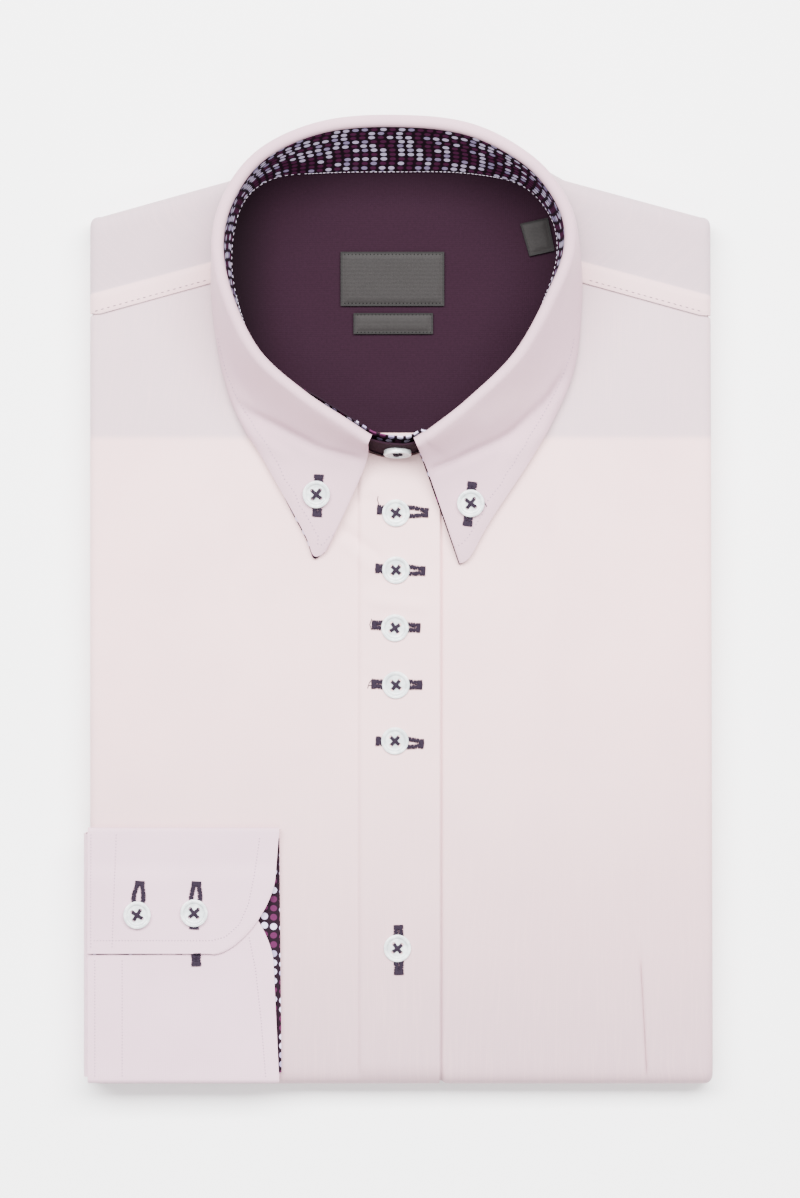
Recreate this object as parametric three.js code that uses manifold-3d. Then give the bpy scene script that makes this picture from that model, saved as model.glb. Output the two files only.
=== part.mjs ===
// A long sleeve dress shirt, buttoned and folded flat as it is sold, lying on its back.
// Millimetres, +Z up from the surface, +Y towards the collar, origin under the middle of the part.
import * as THREE from 'three';
import { mergeVertices } from 'three/addons/utils/BufferGeometryUtils.js';
import Module from 'manifold-3d';

const wasm = await Module();
wasm.setup();

// Cloth and fit
const wall = 1.0;
const gap = 0.3;
const layer = wall + gap;

// The folded package
const leftSide = -125.7;
const rightSideTop = 127.9;
const rightSideBottom = 128.9;
const bottomFold = -197.1;
const shoulderCorner = 157.0;
const collarCorner = { x: 68, y: 173.2 };
const backOfNeckFold = 187.4;
const sideRadius = 3.9;
const endRadius = 7.35;
const lipLength = 6;
const sideTurn = THREE.MathUtils.degToRad(165);
const cornerTurn = THREE.MathUtils.degToRad(88);
const endTurn = THREE.MathUtils.degToRad(160);

// Heights of the layers
const lowerRollTop = 7.0;
const upperRollBase = lowerRollTop + wall + 2 * gap;
const upperRollTop = 12.5;
const innerYokeTop = upperRollTop + layer;
const frontTop = innerYokeTop + layer;
const placketTop = frontTop + layer;

// Seams on the front
const yokeSeam = { outerY: 117.6, innerY: 131.4, innerX: 76 };
const yokeLap = 6;
const innerYokeEdge = 70;
const placket = { edge: 17.2, inside: -15.4, ramp: 2.2, underEdge: -12.5 };
const neckSeamRoom = 3.1;

// The pressed crease at the lower right of the front
const crease = { x: 100.2, slant: 0.055, start: -146.5, fade: 26, height: 0.7, width: 3.2 };

// Collar and stand, a row for each section from the left point round the back to the right point.
// stand: inner face at its top, foot: inner face at the neck seam, crest: height of the fold,
// bend: where the leaf turns to lie on the body, edge: the leaf's free edge.
const collarColumns = [
  'standX', 'standY', 'crest', 'bendX', 'bendY', 'bendZ', 'edgeX', 'edgeY', 'edgeZ', 'footX', 'footY',
];
const collarTable = [
  [-10.4, 68.4, 36.5, -12.9, 57.5, 24.5, -28.9, 21.2, 18.4, -9.7, 64.1],
  [-14.5, 70.9, 37.0, -21.1, 59.6, 23.2, -34.3, 19.2, 18.4, -14.2, 66.2],
  [-20.6, 74.9, 38.0, -29.7, 62.0, 22.6, -38.8, 29.4, 18.5, -21.2, 70.1],
  [-37.8, 86.2, 40.0, -48.1, 70.6, 22.3, -53.9, 56.4, 18.7, -39.9, 82.8],
  [-55.8, 102.5, 43.0, -65.1, 91.7, 26.0, -68.6, 82.2, 19.0, -57.1, 101.7],
  [-66.8, 125.0, 46.0, -73.0, 120.7, 33.0, -75.8, 113.7, 18.2, -66.3, 125.7],
  [-70.4, 145.5, 48.0, -75.6, 145.3, 36.0, -76.2, 142.0, 18.0, -68.0, 146.4],
  [-65.7, 163.6, 50.0, -70.3, 166.9, 34.0, -71.2, 167.8, 18.6, -63.0, 164.7],
  [-52.7, 179.6, 52.0, -56.2, 184.0, 34.0, -56.5, 184.4, 13.0, -50.3, 174.3],
  [-29.3, 189.8, 53.0, -30.6, 195.2, 34.0, -30.8, 195.4, 10.5, -28.6, 176.5],
  [0.2, 192.0, 53.5, 0.2, 197.0, 34.0, 0.1, 197.0, 10.0, 0.1, 176.9],
  [28.4, 188.6, 53.0, 30.0, 193.9, 34.0, 30.3, 194.2, 10.5, 27.6, 176.4],
  [51.8, 176.4, 51.8, 55.5, 180.4, 34.0, 56.2, 180.9, 13.6, 50.0, 171.7],
  [64.8, 160.0, 49.8, 69.9, 162.3, 34.0, 71.0, 162.4, 19.0, 61.9, 160.0],
  [67.3, 144.3, 48.0, 73.3, 143.4, 34.0, 75.5, 140.3, 18.0, 65.6, 145.6],
  [61.3, 127.1, 46.0, 69.9, 123.8, 33.0, 75.9, 119.5, 18.2, 61.5, 127.9],
  [47.6, 102.1, 43.0, 62.9, 98.1, 29.0, 72.0, 92.9, 19.0, 49.0, 102.1],
  [28.8, 83.4, 40.0, 46.7, 71.8, 23.0, 58.5, 65.0, 18.9, 30.7, 81.2],
  [13.8, 71.6, 38.0, 26.7, 59.2, 22.8, 38.2, 33.7, 18.6, 14.9, 68.2],
  [9.5, 69.0, 37.0, 18.9, 56.1, 23.4, 30.0, 19.2, 18.5, 10.2, 65.4],
  [6.5, 67.2, 36.5, 12.6, 53.4, 24.8, 25.5, 15.9, 18.5, 6.5, 63.7],
];
// The stand alone, where the neck is buttoned between the two points.
const neckFrontTable = [
  [3.0, 66.4, 36.2, 3.0, 62.7],
  [-0.3, 66.5, 36.1, -0.3, 62.6],
  [-5.1, 67.0, 36.2, -5.2, 62.7],
];
const foldWidth = 3 * layer + wall;
const foldRadius = foldWidth / 2;
const seamDrop = 0.8;
const sectionSteps = 2;

// Cuff, with the arm lying along X and the hand to the right
const cuff = {
  seamX: -126.9, mouthX: -48.6, mouthSlant: 0.9, topFold: -92.6, bottomFold: -196.2,
  upperEdge: -143.6, lowerEdge: -115.8, cornerX: 22.1, cornerY: 30.8, cornerPower: 1.6, leafSlant: 3.9,
};
const cuffLining = { fromX: -84, margin: 1.4 };
const sleeve = { inX: -119, sideX: -129.0, top: -94.6, bottom: -194.2, radius: 2.6, foot: 0.5 };

// Buttons, 18 line, and where each stands on the cloth
const button = { radius: 5.65, thick: 2.5, rim: 0.5, wellRadius: 3.6 };
const placketButtons = [
  { name: 'placket_button_1', x: -0.7, y: 36.8 },
  { name: 'placket_button_2', x: -0.7, y: 13.4 },
  { name: 'placket_button_3', x: -1.1, y: -10.3 },
  { name: 'placket_button_4', x: -0.7, y: -33.7 },
  { name: 'placket_button_5', x: -1.1, y: -56.6 },
  { name: 'placket_button_6', x: -0.1, y: -141.6 },
];
const cuffButtons = [
  { name: 'cuff_button_1', x: -106.6, y: -127.8 },
  { name: 'cuff_button_2', x: -83.3, y: -127.0 },
];
const pointButtons = [
  { name: 'collar_button_left', x: -33.2, y: 44.4 },
  { name: 'collar_button_right', x: 29.8, y: 40.8 },
];
const pointShank = 0.3;
const standButton = { name: 'stand_button', x: 0.0, rise: 0.5 };

// Labels sewn inside the neck
const labelThick = 1.0;
const mainLabel = { left: -23.4, right: 19.1, bottom: 121.8, top: 144.0 };
const smallLabel = { left: -18.1, right: 14.5, bottom: 110.3, top: 118.9 };
const sizeTab = [[50.2, 155.5], [54.1, 142.2], [64.4, 144.5], [61.6, 158.0]];

const colours = {
  cotton: 0xe9dde1,
  lining: 0x54374a,
  print: 0x3a2237,
  satin: 0x57524f,
  pearl: 0xe9ebee,
};

function clothMaterial(colour, roughness = 0.85) {
  return new THREE.MeshStandardMaterial({ color: colour, roughness, metalness: 0 });
}

const materials = {
  cotton: clothMaterial(colours.cotton),
  lining: clothMaterial(colours.lining),
  print: clothMaterial(colours.print),
  satin: clothMaterial(colours.satin, 0.6),
  pearl: clothMaterial(colours.pearl, 0.25),
};

const smooth = (t) => THREE.MathUtils.smoothstep(t, 0, 1);

// Round of a pressed fold, from flat (0) through upright (a quarter turn) to under: how far out and up.
function foldRound(turn, squareness = 0.7) {
  const out = Math.pow(Math.abs(Math.sin(turn)), squareness);
  const up = Math.sign(Math.cos(turn)) * Math.pow(Math.abs(Math.cos(turn)), squareness);
  return { out, up };
}

// One closed solid from two grids of points that share their rows and columns.
function sheetSolid(outer, inner, ringRows = false) {
  const rows = outer.length;
  const columns = outer[0].length;
  const positions = [];
  for (const grid of [outer, inner]) {
    for (const row of grid) {
      for (const point of row) positions.push(point.x, point.y, point.z);
    }
  }
  const index = [];
  const at = (side, r, c) => (side * rows + (r % rows)) * columns + c;
  const quad = (a, b, c, d) => index.push(a, b, c, a, c, d);
  const lastRow = ringRows ? rows : rows - 1;
  for (let r = 0; r < lastRow; r += 1) {
    for (let c = 0; c < columns - 1; c += 1) {
      quad(at(0, r, c), at(0, r, c + 1), at(0, r + 1, c + 1), at(0, r + 1, c));
      quad(at(1, r, c), at(1, r + 1, c), at(1, r + 1, c + 1), at(1, r, c + 1));
    }
    const last = columns - 1;
    quad(at(0, r, 0), at(0, r + 1, 0), at(1, r + 1, 0), at(1, r, 0));
    quad(at(0, r, last), at(1, r, last), at(1, r + 1, last), at(0, r + 1, last));
  }
  if (!ringRows) {
    for (let c = 0; c < columns - 1; c += 1) {
      quad(at(0, 0, c), at(1, 0, c), at(1, 0, c + 1), at(0, 0, c + 1));
      quad(at(0, rows - 1, c), at(0, rows - 1, c + 1), at(1, rows - 1, c + 1), at(1, rows - 1, c));
    }
  }
  if (enclosedVolume(positions, index) < 0) index.reverse();
  const geometry = new THREE.BufferGeometry();
  geometry.setAttribute('position', new THREE.Float32BufferAttribute(positions, 3));
  geometry.setIndex(index);
  geometry.computeVertexNormals();
  return geometry;
}

function enclosedVolume(positions, index) {
  const corner = (k) => new THREE.Vector3().fromArray(positions, index[k] * 3);
  let total = 0;
  for (let k = 0; k < index.length; k += 3) {
    total += corner(k).dot(corner(k + 1).cross(corner(k + 2))) / 6;
  }
  return total;
}

// A grid moved along its own surface normals, towards the side that the sign picks.
function offsetGrid(grid, distance, ringRows = false) {
  const rows = grid.length;
  const columns = grid[0].length;
  return grid.map((row, r) => row.map((point, c) => {
    const before = ringRows ? grid[(r + rows - 1) % rows] : grid[Math.max(r - 1, 0)];
    const after = ringRows ? grid[(r + 1) % rows] : grid[Math.min(r + 1, rows - 1)];
    const alongRows = after[c].clone().sub(before[c]);
    const alongColumns = row[Math.min(c + 1, columns - 1)].clone().sub(row[Math.max(c - 1, 0)]);
    const normal = alongColumns.cross(alongRows).normalize();
    return point.clone().addScaledVector(normal, distance);
  }));
}

function mesh(name, geometry, material) {
  const piece = new THREE.Mesh(geometry, material);
  piece.name = name;
  return piece;
}

// Catmull-Rom through the rows of a table, for every column at once.
function smoothRows(rows, steps, ring) {
  const count = rows.length;
  const pick = (k) => (ring ? rows[(k + count) % count] : rows[Math.min(Math.max(k, 0), count - 1)]);
  const result = [];
  const spans = ring ? count : count - 1;
  for (let k = 0; k < spans; k += 1) {
    const [a, b, c, d] = [pick(k - 1), pick(k), pick(k + 1), pick(k + 2)];
    for (let s = 0; s < steps; s += 1) {
      const t = s / steps;
      result.push(b.map((value, j) => value + 0.5 * t * (c[j] - a[j]
        + t * (2 * a[j] - 5 * value + 4 * c[j] - d[j] + t * (3 * (value - c[j]) + d[j] - a[j])))));
    }
  }
  if (!ring) result.push([...rows[count - 1]]);
  return result;
}

// The neck ring: each section's top and foot on the stand's inner face, with the way outwards.
function neckRing() {
  const pickStand = (row) => [row[0], row[1], row[2], row[9], row[10]];
  const rows = smoothRows([...collarTable.map(pickStand), ...neckFrontTable], sectionSteps, true);
  return rows.map(([standX, standY, crest, footX, footY], k) => {
    const before = rows[(k + rows.length - 1) % rows.length];
    const after = rows[(k + 1) % rows.length];
    const outwardAt = (i) => new THREE.Vector2(before[i + 1] - after[i + 1], after[i] - before[i]).normalize();
    return {
      top: new THREE.Vector2(standX, standY),
      foot: new THREE.Vector2(footX, footY),
      crest,
      topOut: outwardAt(0),
      footOut: outwardAt(3),
    };
  });
}
const ring = neckRing();

// Neck edge of the yoke and fronts, a little outside the foot of the stand.
const neckEdge = ring.map((s) => s.foot.clone().addScaledVector(s.footOut, neckSeamRoom));
const neckSides = {
  left: Math.min(...neckEdge.map((p) => p.x)),
  right: Math.max(...neckEdge.map((p) => p.x)),
};

function neckY(x, back) {
  const middle = 146;
  let best = back ? -Infinity : Infinity;
  neckEdge.forEach((p, k) => {
    const q = neckEdge[(k + 1) % neckEdge.length];
    if ((p.x - x) * (q.x - x) > 0 || p.x === q.x) return;
    const y = p.y + (q.y - p.y) * (x - p.x) / (q.x - p.x);
    if (back && y >= middle - 8) best = Math.max(best, y);
    if (!back && y <= middle + 8) best = Math.min(best, y);
  });
  return best;
}

// Fold lines of the package
const sideX = (side, y) => {
  const t = (shoulderCorner - y) / (shoulderCorner - bottomFold);
  return side < 0 ? leftSide : THREE.MathUtils.lerp(rightSideTop, rightSideBottom, t);
};

function shoulderY(x) {
  const reach = Math.abs(x);
  const edge = sideX(Math.sign(x), shoulderCorner);
  if (reach > collarCorner.x) {
    const t = (reach - collarCorner.x) / (Math.abs(edge) - collarCorner.x);
    return THREE.MathUtils.lerp(collarCorner.y, shoulderCorner, t);
  }
  return backOfNeckFold - (backOfNeckFold - collarCorner.y) * Math.pow(reach / collarCorner.x, 3);
}

function seamY(x) {
  const reach = Math.abs(x);
  const t = (reach - yokeSeam.innerX) / (Math.abs(leftSide) - yokeSeam.innerX);
  return THREE.MathUtils.lerp(yokeSeam.innerY, yokeSeam.outerY, t);
}

// A panel that lies flat, is turned under along its sides, and is wrapped over one end.
// yRows gives a column's flat rows, endReach how far out the wrap goes, and tuck how far a seam
// allowance shrinks into the fold of its neighbour.
function foldedPanel({ flatX, folds, yRows, end, endReach, towards, lift, tuck }) {
  const turns = [0.2, 0.4, 0.6, 0.8, 1];
  const foldColumns = (side) => [
    ...turns.map((part) => ({ side, part, lip: 0 })),
    { side, part: 1, lip: 1 },
  ];
  const columns = flatX.map((x) => ({ x }));
  if (folds.includes(-1)) columns.unshift(...foldColumns(-1).reverse());
  if (folds.includes(1)) columns.push(...foldColumns(1));
  const flatCount = yRows(flatX[0]).length;
  const rowList = Array.from({ length: flatCount }, (_, k) => ({ k, turn: 0 }));
  [0.2, 0.38, 0.56, 0.78, 1].forEach((part) => rowList.push({ k: flatCount - 1, turn: part * endTurn }));

  return rowList.map((row) => columns.map((column) => {
    const rowX = column.side ? sideX(column.side, 0) - column.side * sideRadius : column.x;
    const y = yRows(rowX)[row.k];
    const endY = end(rowX) - towards * endReach(rowX);
    const wrap = foldRound(row.turn);
    let x = rowX;
    let depth = 0;
    let rise = lift(x, y, wrap.out);
    if (column.side) {
      const fromEnd = Math.abs(endY - y);
      const shrink = tuck(rowX, y);
      const turned = smooth((fromEnd - 0.5) / 7) * (1 - shrink);
      const lipShare = smooth((fromEnd - 8) / 10) * (1 - shrink);
      const radius = sideRadius - layer * shrink;
      const lastTurn = THREE.MathUtils.lerp(cornerTurn, sideTurn, turned);
      const turn = column.part * lastTurn + column.lip * (1 - lipShare) * 0.12;
      const round = foldRound(turn);
      const lip = column.lip * lipShare * lipLength;
      x = sideX(column.side, y) - column.side * (sideRadius - radius * round.out + lip);
      depth = radius * (1 - round.up);
      rise *= Math.max(0, round.up);
    }
    const radius = endRadius + rise - depth;
    return new THREE.Vector3(
      x,
      row.turn > 0 ? endY + towards * endReach(rowX) * (radius / endRadius) * wrap.out : y,
      frontTop - endRadius + radius * wrap.up,
    );
  }));
}

function panelSolid(grid, downwards) {
  return sheetSolid(grid, offsetGrid(grid, downwards * wall));
}

const spread = (from, to, count) => (
  Array.from({ length: count }, (_, k) => THREE.MathUtils.lerp(from, to, k / (count - 1)))
);

const besideNeck = (x, margin = 0.1) => x < neckSides.left - margin || x > neckSides.right + margin;

// Column places that follow the neck edge on one side, from its outermost point inwards.
function neckColumns(side, back) {
  const limit = side < 0 ? neckSides.left : neckSides.right;
  const middle = 146;
  const found = neckEdge
    .filter((p) => (back ? p.y > middle : p.y < middle) && p.x * side > 7)
    .map((p) => Math.abs(p.x))
    .filter((x) => x < Math.abs(limit) - 0.7)
    .sort((p, q) => q - p);
  const split = back ? [0.2, -0.2] : [0.75, 0.35];
  return [...split.map((past) => Math.abs(limit) + past), ...found].map((x) => x * side);
}

// Flat rows of a front: the seam allowance under the yoke, the front itself, and its last stretch.
function frontRows(x) {
  const nearestNeck = THREE.MathUtils.clamp(x, neckSides.left + 0.2, neckSides.right - 0.2);
  const start = besideNeck(x, 0.5) ? seamY(x) + yokeLap : Math.min(neckY(nearestNeck, false), seamY(x) - 1);
  const seam = start - yokeLap - gap;
  const endY = bottomFold + endRadius;
  const last = endY + 22;
  return [start, seam, seam - layer, ...spread(seam - layer, last, 6).slice(1), endY + 9, endY + 3.5, endY];
}

const frontTuck = (x, y) => 1 - smooth((seamY(x) - gap - y) / layer);

// The front that lies on top, with the placket folded along its free edge.
function frontLeft() {
  const rise = (x) => layer * smooth((x - placket.inside) / placket.ramp + 0.5);
  const grid = foldedPanel({
    flatX: [
      ...spread(leftSide + sideRadius, -80, 4),
      ...neckColumns(-1, false).filter((x) => x < placket.inside - placket.ramp),
      placket.inside - placket.ramp / 2, placket.inside + placket.ramp / 2,
      -9.2, -4, 1, 5, 11, placket.edge,
    ],
    folds: [-1],
    yRows: frontRows,
    end: () => bottomFold,
    endReach: () => endRadius,
    towards: -1,
    lift: (x, y, out) => rise(x) * (1 - smooth(out * 1.2)),
    tuck: frontTuck,
  });
  return mesh('front_left', panelSolid(grid, 1), materials.cotton);
}

// The front that lies below, with the pressed crease near its hem.
function frontRight() {
  const creaseLift = (x, y) => {
    const lineX = crease.x + crease.slant * (crease.start - y);
    const across = Math.max(0, 1 - Math.abs(x - lineX) / crease.width);
    return crease.height * smooth(across) * smooth((crease.start + 8 - y) / crease.fade);
  };
  const sink = (x) => smooth((placket.edge + 2 - x) / 1.6);
  const grid = foldedPanel({
    flatX: [
      placket.underEdge, -8, -4, 0, 4, 9, placket.edge + 0.35, placket.edge + 2.4,
      ...neckColumns(1, false).filter((x) => x > placket.edge + 4).reverse(),
      84, 96.6, 99.8, 101.6, 104.6, 113, rightSideTop - sideRadius,
    ],
    folds: [1],
    yRows: frontRows,
    end: () => bottomFold,
    endReach: () => endRadius,
    towards: -1,
    lift: (x, y, out) => creaseLift(x, y) * (1 - smooth(out)) - layer * smooth(out * 1.2) * sink(x),
    tuck: frontTuck,
  });
  return mesh('front_right', panelSolid(grid, 1), materials.cotton);
}

// The outer yoke, lapped on the fronts and wrapped over the shoulders.
function outerYoke() {
  const reach = (x) => (
    besideNeck(x) ? endRadius : Math.min(endRadius, shoulderY(x) - neckY(x, true) - 2 * gap)
  );
  const lapEnd = yokeLap + 2 * gap;
  const lapLift = (x, y) => (besideNeck(x) ? layer * (1 - smooth((y - seamY(x) - lapEnd) / 2.4)) : 0);
  const yRows = (x) => {
    const endY = shoulderY(x) - reach(x);
    if (!besideNeck(x)) return spread(neckY(x, true), endY, 6);
    const seam = seamY(x);
    return [seam, seam + lapEnd, seam + lapEnd + 2.4, endY - 9, endY - 3.5, endY];
  };
  const grid = foldedPanel({
    flatX: [
      ...spread(leftSide + sideRadius, -80, 4),
      ...neckColumns(-1, true),
      0,
      ...neckColumns(1, true).reverse(),
      ...spread(80, rightSideTop - sideRadius, 4),
    ],
    folds: [-1, 1],
    yRows,
    end: shoulderY,
    endReach: reach,
    towards: 1,
    lift: lapLift,
    tuck: () => 0,
  });
  return mesh('outer_yoke', panelSolid(grid, -1), materials.cotton);
}

// Outline of the folded stack, drawn inside the fold lines by a margin on the sides and at the ends.
function stackShape(sideInset, endInset, corner) {
  const shape = new THREE.Shape();
  const bottomY = bottomFold + endInset;
  const left = leftSide + sideInset;
  const rightTop = rightSideTop - sideInset;
  const rightLow = rightSideBottom - sideInset;
  const run = 2.5 * corner;
  const topY = (x) => shoulderY(x) - endInset;
  shape.moveTo(left + corner, bottomY);
  shape.lineTo(rightLow - corner, bottomY);
  shape.quadraticCurveTo(rightLow, bottomY, rightLow, bottomY + run);
  shape.lineTo(rightTop, topY(rightTop) - run);
  shape.quadraticCurveTo(rightTop, topY(rightTop), rightTop - corner, topY(rightTop - corner));
  for (const x of [90, 68, 50, 30, 10, -10, -30, -50, -68, -90]) shape.lineTo(x, topY(x));
  shape.lineTo(left + corner, topY(left + corner));
  shape.quadraticCurveTo(left, topY(left), left, topY(left) - run);
  shape.lineTo(left, bottomY + run);
  shape.quadraticCurveTo(left, bottomY, left + corner, bottomY);
  return shape;
}

function slab(shape, base, top, bevel) {
  const geometry = new THREE.ExtrudeGeometry(shape, {
    depth: top - base - 2 * bevel,
    bevelEnabled: bevel > 0,
    bevelThickness: bevel,
    bevelSize: bevel,
    bevelOffset: -bevel,
    bevelSegments: 3,
    curveSegments: 3,
  });
  geometry.translate(0, 0, base + bevel);
  return geometry;
}

function asManifold(geometry) {
  const bare = geometry.clone();
  bare.deleteAttribute('normal');
  bare.deleteAttribute('uv');
  const merged = mergeVertices(bare, 1e-4);
  return new wasm.Manifold(new wasm.Mesh({
    numProp: 3,
    vertProperties: new Float32Array(merged.attributes.position.array),
    triVerts: new Uint32Array(merged.index.array),
  }));
}

function fromManifold(solid) {
  const data = solid.getMesh();
  const geometry = new THREE.BufferGeometry();
  geometry.setAttribute('position', new THREE.Float32BufferAttribute(data.vertProperties, 3));
  geometry.setIndex(new THREE.Uint32BufferAttribute(data.triVerts, 1));
  geometry.computeVertexNormals();
  return geometry;
}

// Hidden back, sleeves and tail: two rolls with the turned fronts between them, and the back on top.
function foldedStack() {
  const endInset = 5.6;
  const coreInset = 14;
  const upperRollInset = 9.5;
  const lower = slab(stackShape(gap, endInset, 6), 0, lowerRollTop, 2.8);
  const upper = slab(stackShape(upperRollInset, endInset, 6), upperRollBase, upperRollTop, 1.7);
  const core = slab(stackShape(coreInset, coreInset, 2), lowerRollTop - 1, upperRollBase + 1, 0);
  const backShape = new THREE.Shape();
  const [left, right] = [leftSide + sideRadius, rightSideTop - sideRadius];
  const top = innerYokeEdge - gap;
  backShape.moveTo(left, bottomFold + endRadius);
  backShape.lineTo(right, bottomFold + endRadius);
  backShape.lineTo(right, top);
  backShape.lineTo(left, top);
  backShape.closePath();
  const back = slab(backShape, upperRollTop - 0.5, innerYokeTop, 0);
  const solid = [upper, core, back].reduce((sum, next) => sum.add(asManifold(next)), asManifold(lower));
  return mesh('folded_back', fromManifold(solid), materials.cotton);
}

// The dark inner yoke, which lines the shoulders and shows through the neck.
function innerYoke() {
  const shape = new THREE.Shape();
  const inset = 6;
  const [left, right] = [leftSide + inset, rightSideTop - inset];
  shape.moveTo(left, innerYokeEdge);
  shape.lineTo(right, innerYokeEdge);
  for (const x of [right, 90, 68, 40, 14, -14, -40, -68, -90, left]) {
    shape.lineTo(x, shoulderY(x) - endRadius);
  }
  shape.closePath();
  return mesh('inner_yoke', slab(shape, innerYokeTop - wall, innerYokeTop, 0), materials.lining);
}

// One layer of the collar stand, between two distances outside its inner face.
function standLayer(name, from, to, topDrop, material) {
  const levels = [0, 0.5, 1];
  const side = (distance) => ring.map((section) => levels.map((level) => {
    const foot = section.foot.clone().addScaledVector(section.footOut, distance);
    const top = section.top.clone().addScaledVector(section.topOut, distance);
    const bow = 0.6 * Math.sin(Math.PI * level);
    const spot = foot.lerp(top, level).addScaledVector(section.footOut, bow);
    const topZ = section.crest - foldRadius - seamDrop - topDrop;
    return new THREE.Vector3(spot.x, spot.y, THREE.MathUtils.lerp(innerYokeTop + gap, topZ, level));
  }));
  return mesh(name, sheetSolid(side(from), side(to), true), material);
}

// The leaf's upper face: up from the seam, over the fold, down to the bend and out to the edge.
function leafGrid() {
  const leafRows = smoothRows(collarTable, sectionSteps, false);
  return leafRows.map((values, k) => {
    const row = Object.fromEntries(collarColumns.map((name, j) => [name, values[j]]));
    const { top, topOut, crest } = ring[k];
    const middle = top.clone().addScaledVector(topOut, foldRadius);
    const bend = new THREE.Vector3(row.bendX, row.bendY, row.bendZ);
    const edge = new THREE.Vector3(row.edgeX, row.edgeY, row.edgeZ);
    const reach = Math.max(0.4, Math.hypot(row.bendX - middle.x, row.bendY - middle.y) - foldRadius / 2);
    const slope = Math.atan2(crest - row.bendZ, reach);
    const lastTurn = Math.PI / 2 + 0.9 * slope;
    const points = [];
    const archPoint = (turn) => {
      const out = foldRadius * (1 - Math.cos(turn));
      const spot = top.clone().addScaledVector(topOut, out);
      return new THREE.Vector3(spot.x, spot.y, crest - foldRadius + foldRadius * Math.sin(turn));
    };
    points.push(archPoint(0).setZ(crest - foldRadius - seamDrop));
    for (let s = 0; s <= 4; s += 1) points.push(archPoint(s * Math.PI / 8));
    for (let s = 1; s <= 3; s += 1) {
      points.push(archPoint(THREE.MathUtils.lerp(Math.PI / 2, lastTurn, s / 3)));
    }
    const leg = new THREE.CatmullRomCurve3([points[points.length - 2], points[points.length - 1], bend, edge]);
    for (const t of [1 / 3 + 0.09, 1 / 3 + 0.18, 1 / 3 + 0.27, 2 / 3, 0.74, 0.82, 0.91, 1]) {
      points.push(leg.getPoint(t));
    }
    return points;
  });
}
const leaf = leafGrid();
const crestColumn = 5;

function collarLeaf() {
  return mesh('collar_leaf', sheetSolid(leaf, offsetGrid(leaf, -leafSide * wall)), materials.cotton);
}

function underCollar() {
  const trim = (grid) => grid.map((row) => row.slice(crestColumn));
  const near = trim(offsetGrid(leaf, -leafSide * layer));
  const far = trim(offsetGrid(leaf, -leafSide * (layer + wall)));
  return mesh('under_collar', sheetSolid(near, far), materials.print);
}

// Which way the leaf's grid normals point: 1 when they leave its upper face.
const leafSide = Math.sign(offsetGrid(leaf, 1)[20][crestColumn].z - leaf[20][crestColumn].z);

// The cuff's mouth at a distance from a leaf's free edge, with its rounded corner.
function mouthAt(distance, length) {
  const within = Math.min(1, distance / cuff.cornerY);
  const round = Math.pow(1 - Math.pow(1 - within, cuff.cornerPower), 1 / cuff.cornerPower);
  const slant = cuff.leafSlant * (1 - distance / length);
  return cuff.mouthX - slant - cuff.cornerX * (1 - round);
}

// The cuff is one strip: upper leaf, top fold, far half, bottom fold, lower leaf.
function cuffPath() {
  const farMiddle = frontTop + gap + wall / 2;
  const lowerMiddle = farMiddle + 2 * layer;
  const upperMiddle = lowerMiddle + layer;
  const radius = (lowerMiddle - farMiddle) / 2;
  const path = [];
  const upperLength = cuff.topFold - cuff.upperEdge;
  const lowerLength = cuff.lowerEdge - cuff.bottomFold;
  const steps = [0, 0.03, 0.09, 0.18, 0.3, 0.42, 0.6, 0.78];
  for (const s of steps) {
    const distance = s * upperLength;
    const y = cuff.upperEdge + distance;
    const settle = smooth((y - cuff.lowerEdge - 1.5) / 8);
    path.push({ y, z: upperMiddle - layer * settle, mouth: mouthAt(distance, upperLength) });
  }
  const turn = (centreY, side) => {
    for (let s = 0; s <= 4; s += 1) {
      const angle = Math.PI * s / 4;
      const up = side > 0 ? Math.cos(angle) : -Math.cos(angle);
      const y = centreY + side * radius * Math.sin(angle);
      path.push({ y, z: farMiddle + radius + radius * up, mouth: cuff.mouthX });
    }
  };
  turn(cuff.topFold - radius - wall / 2, 1);
  for (const s of [0.33, 0.66]) {
    const y = THREE.MathUtils.lerp(cuff.topFold, cuff.bottomFold, s);
    path.push({ y, z: farMiddle, mouth: cuff.mouthX + cuff.mouthSlant * s });
  }
  turn(cuff.bottomFold + radius + wall / 2, -1);
  const lower = [0.78, 0.6, 0.42, 0.3, 0.18, 0.09, 0.03, 0];
  for (const s of lower) {
    const distance = s * lowerLength;
    path.push({ y: cuff.lowerEdge - distance, z: lowerMiddle, mouth: mouthAt(distance, lowerLength) });
  }
  return path;
}

function cuffPiece() {
  const path = cuffPath();
  const across = [0, 0.25, 0.5, 0.75, 0.9, 1];
  const grid = path.map(({ y, z, mouth }) => (
    across.map((s) => new THREE.Vector3(THREE.MathUtils.lerp(cuff.seamX, mouth, s), y, z))
  ));
  return mesh('cuff', sheetSolid(offsetGrid(grid, wall / 2), offsetGrid(grid, -wall / 2)), materials.cotton);
}

function cuffFacing() {
  const base = frontTop + gap + layer;
  const shape = new THREE.Shape();
  const top = cuff.topFold - 2 * cuffLining.margin - wall;
  const bottom = cuff.bottomFold + 2 * cuffLining.margin + wall;
  shape.moveTo(cuffLining.fromX, bottom);
  shape.lineTo(cuff.mouthX + cuff.mouthSlant - gap, bottom);
  shape.lineTo(cuff.mouthX - gap, top);
  shape.lineTo(cuffLining.fromX, top);
  shape.closePath();
  return mesh('cuff_facing', slab(shape, base, base + wall, 0), materials.print);
}

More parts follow.
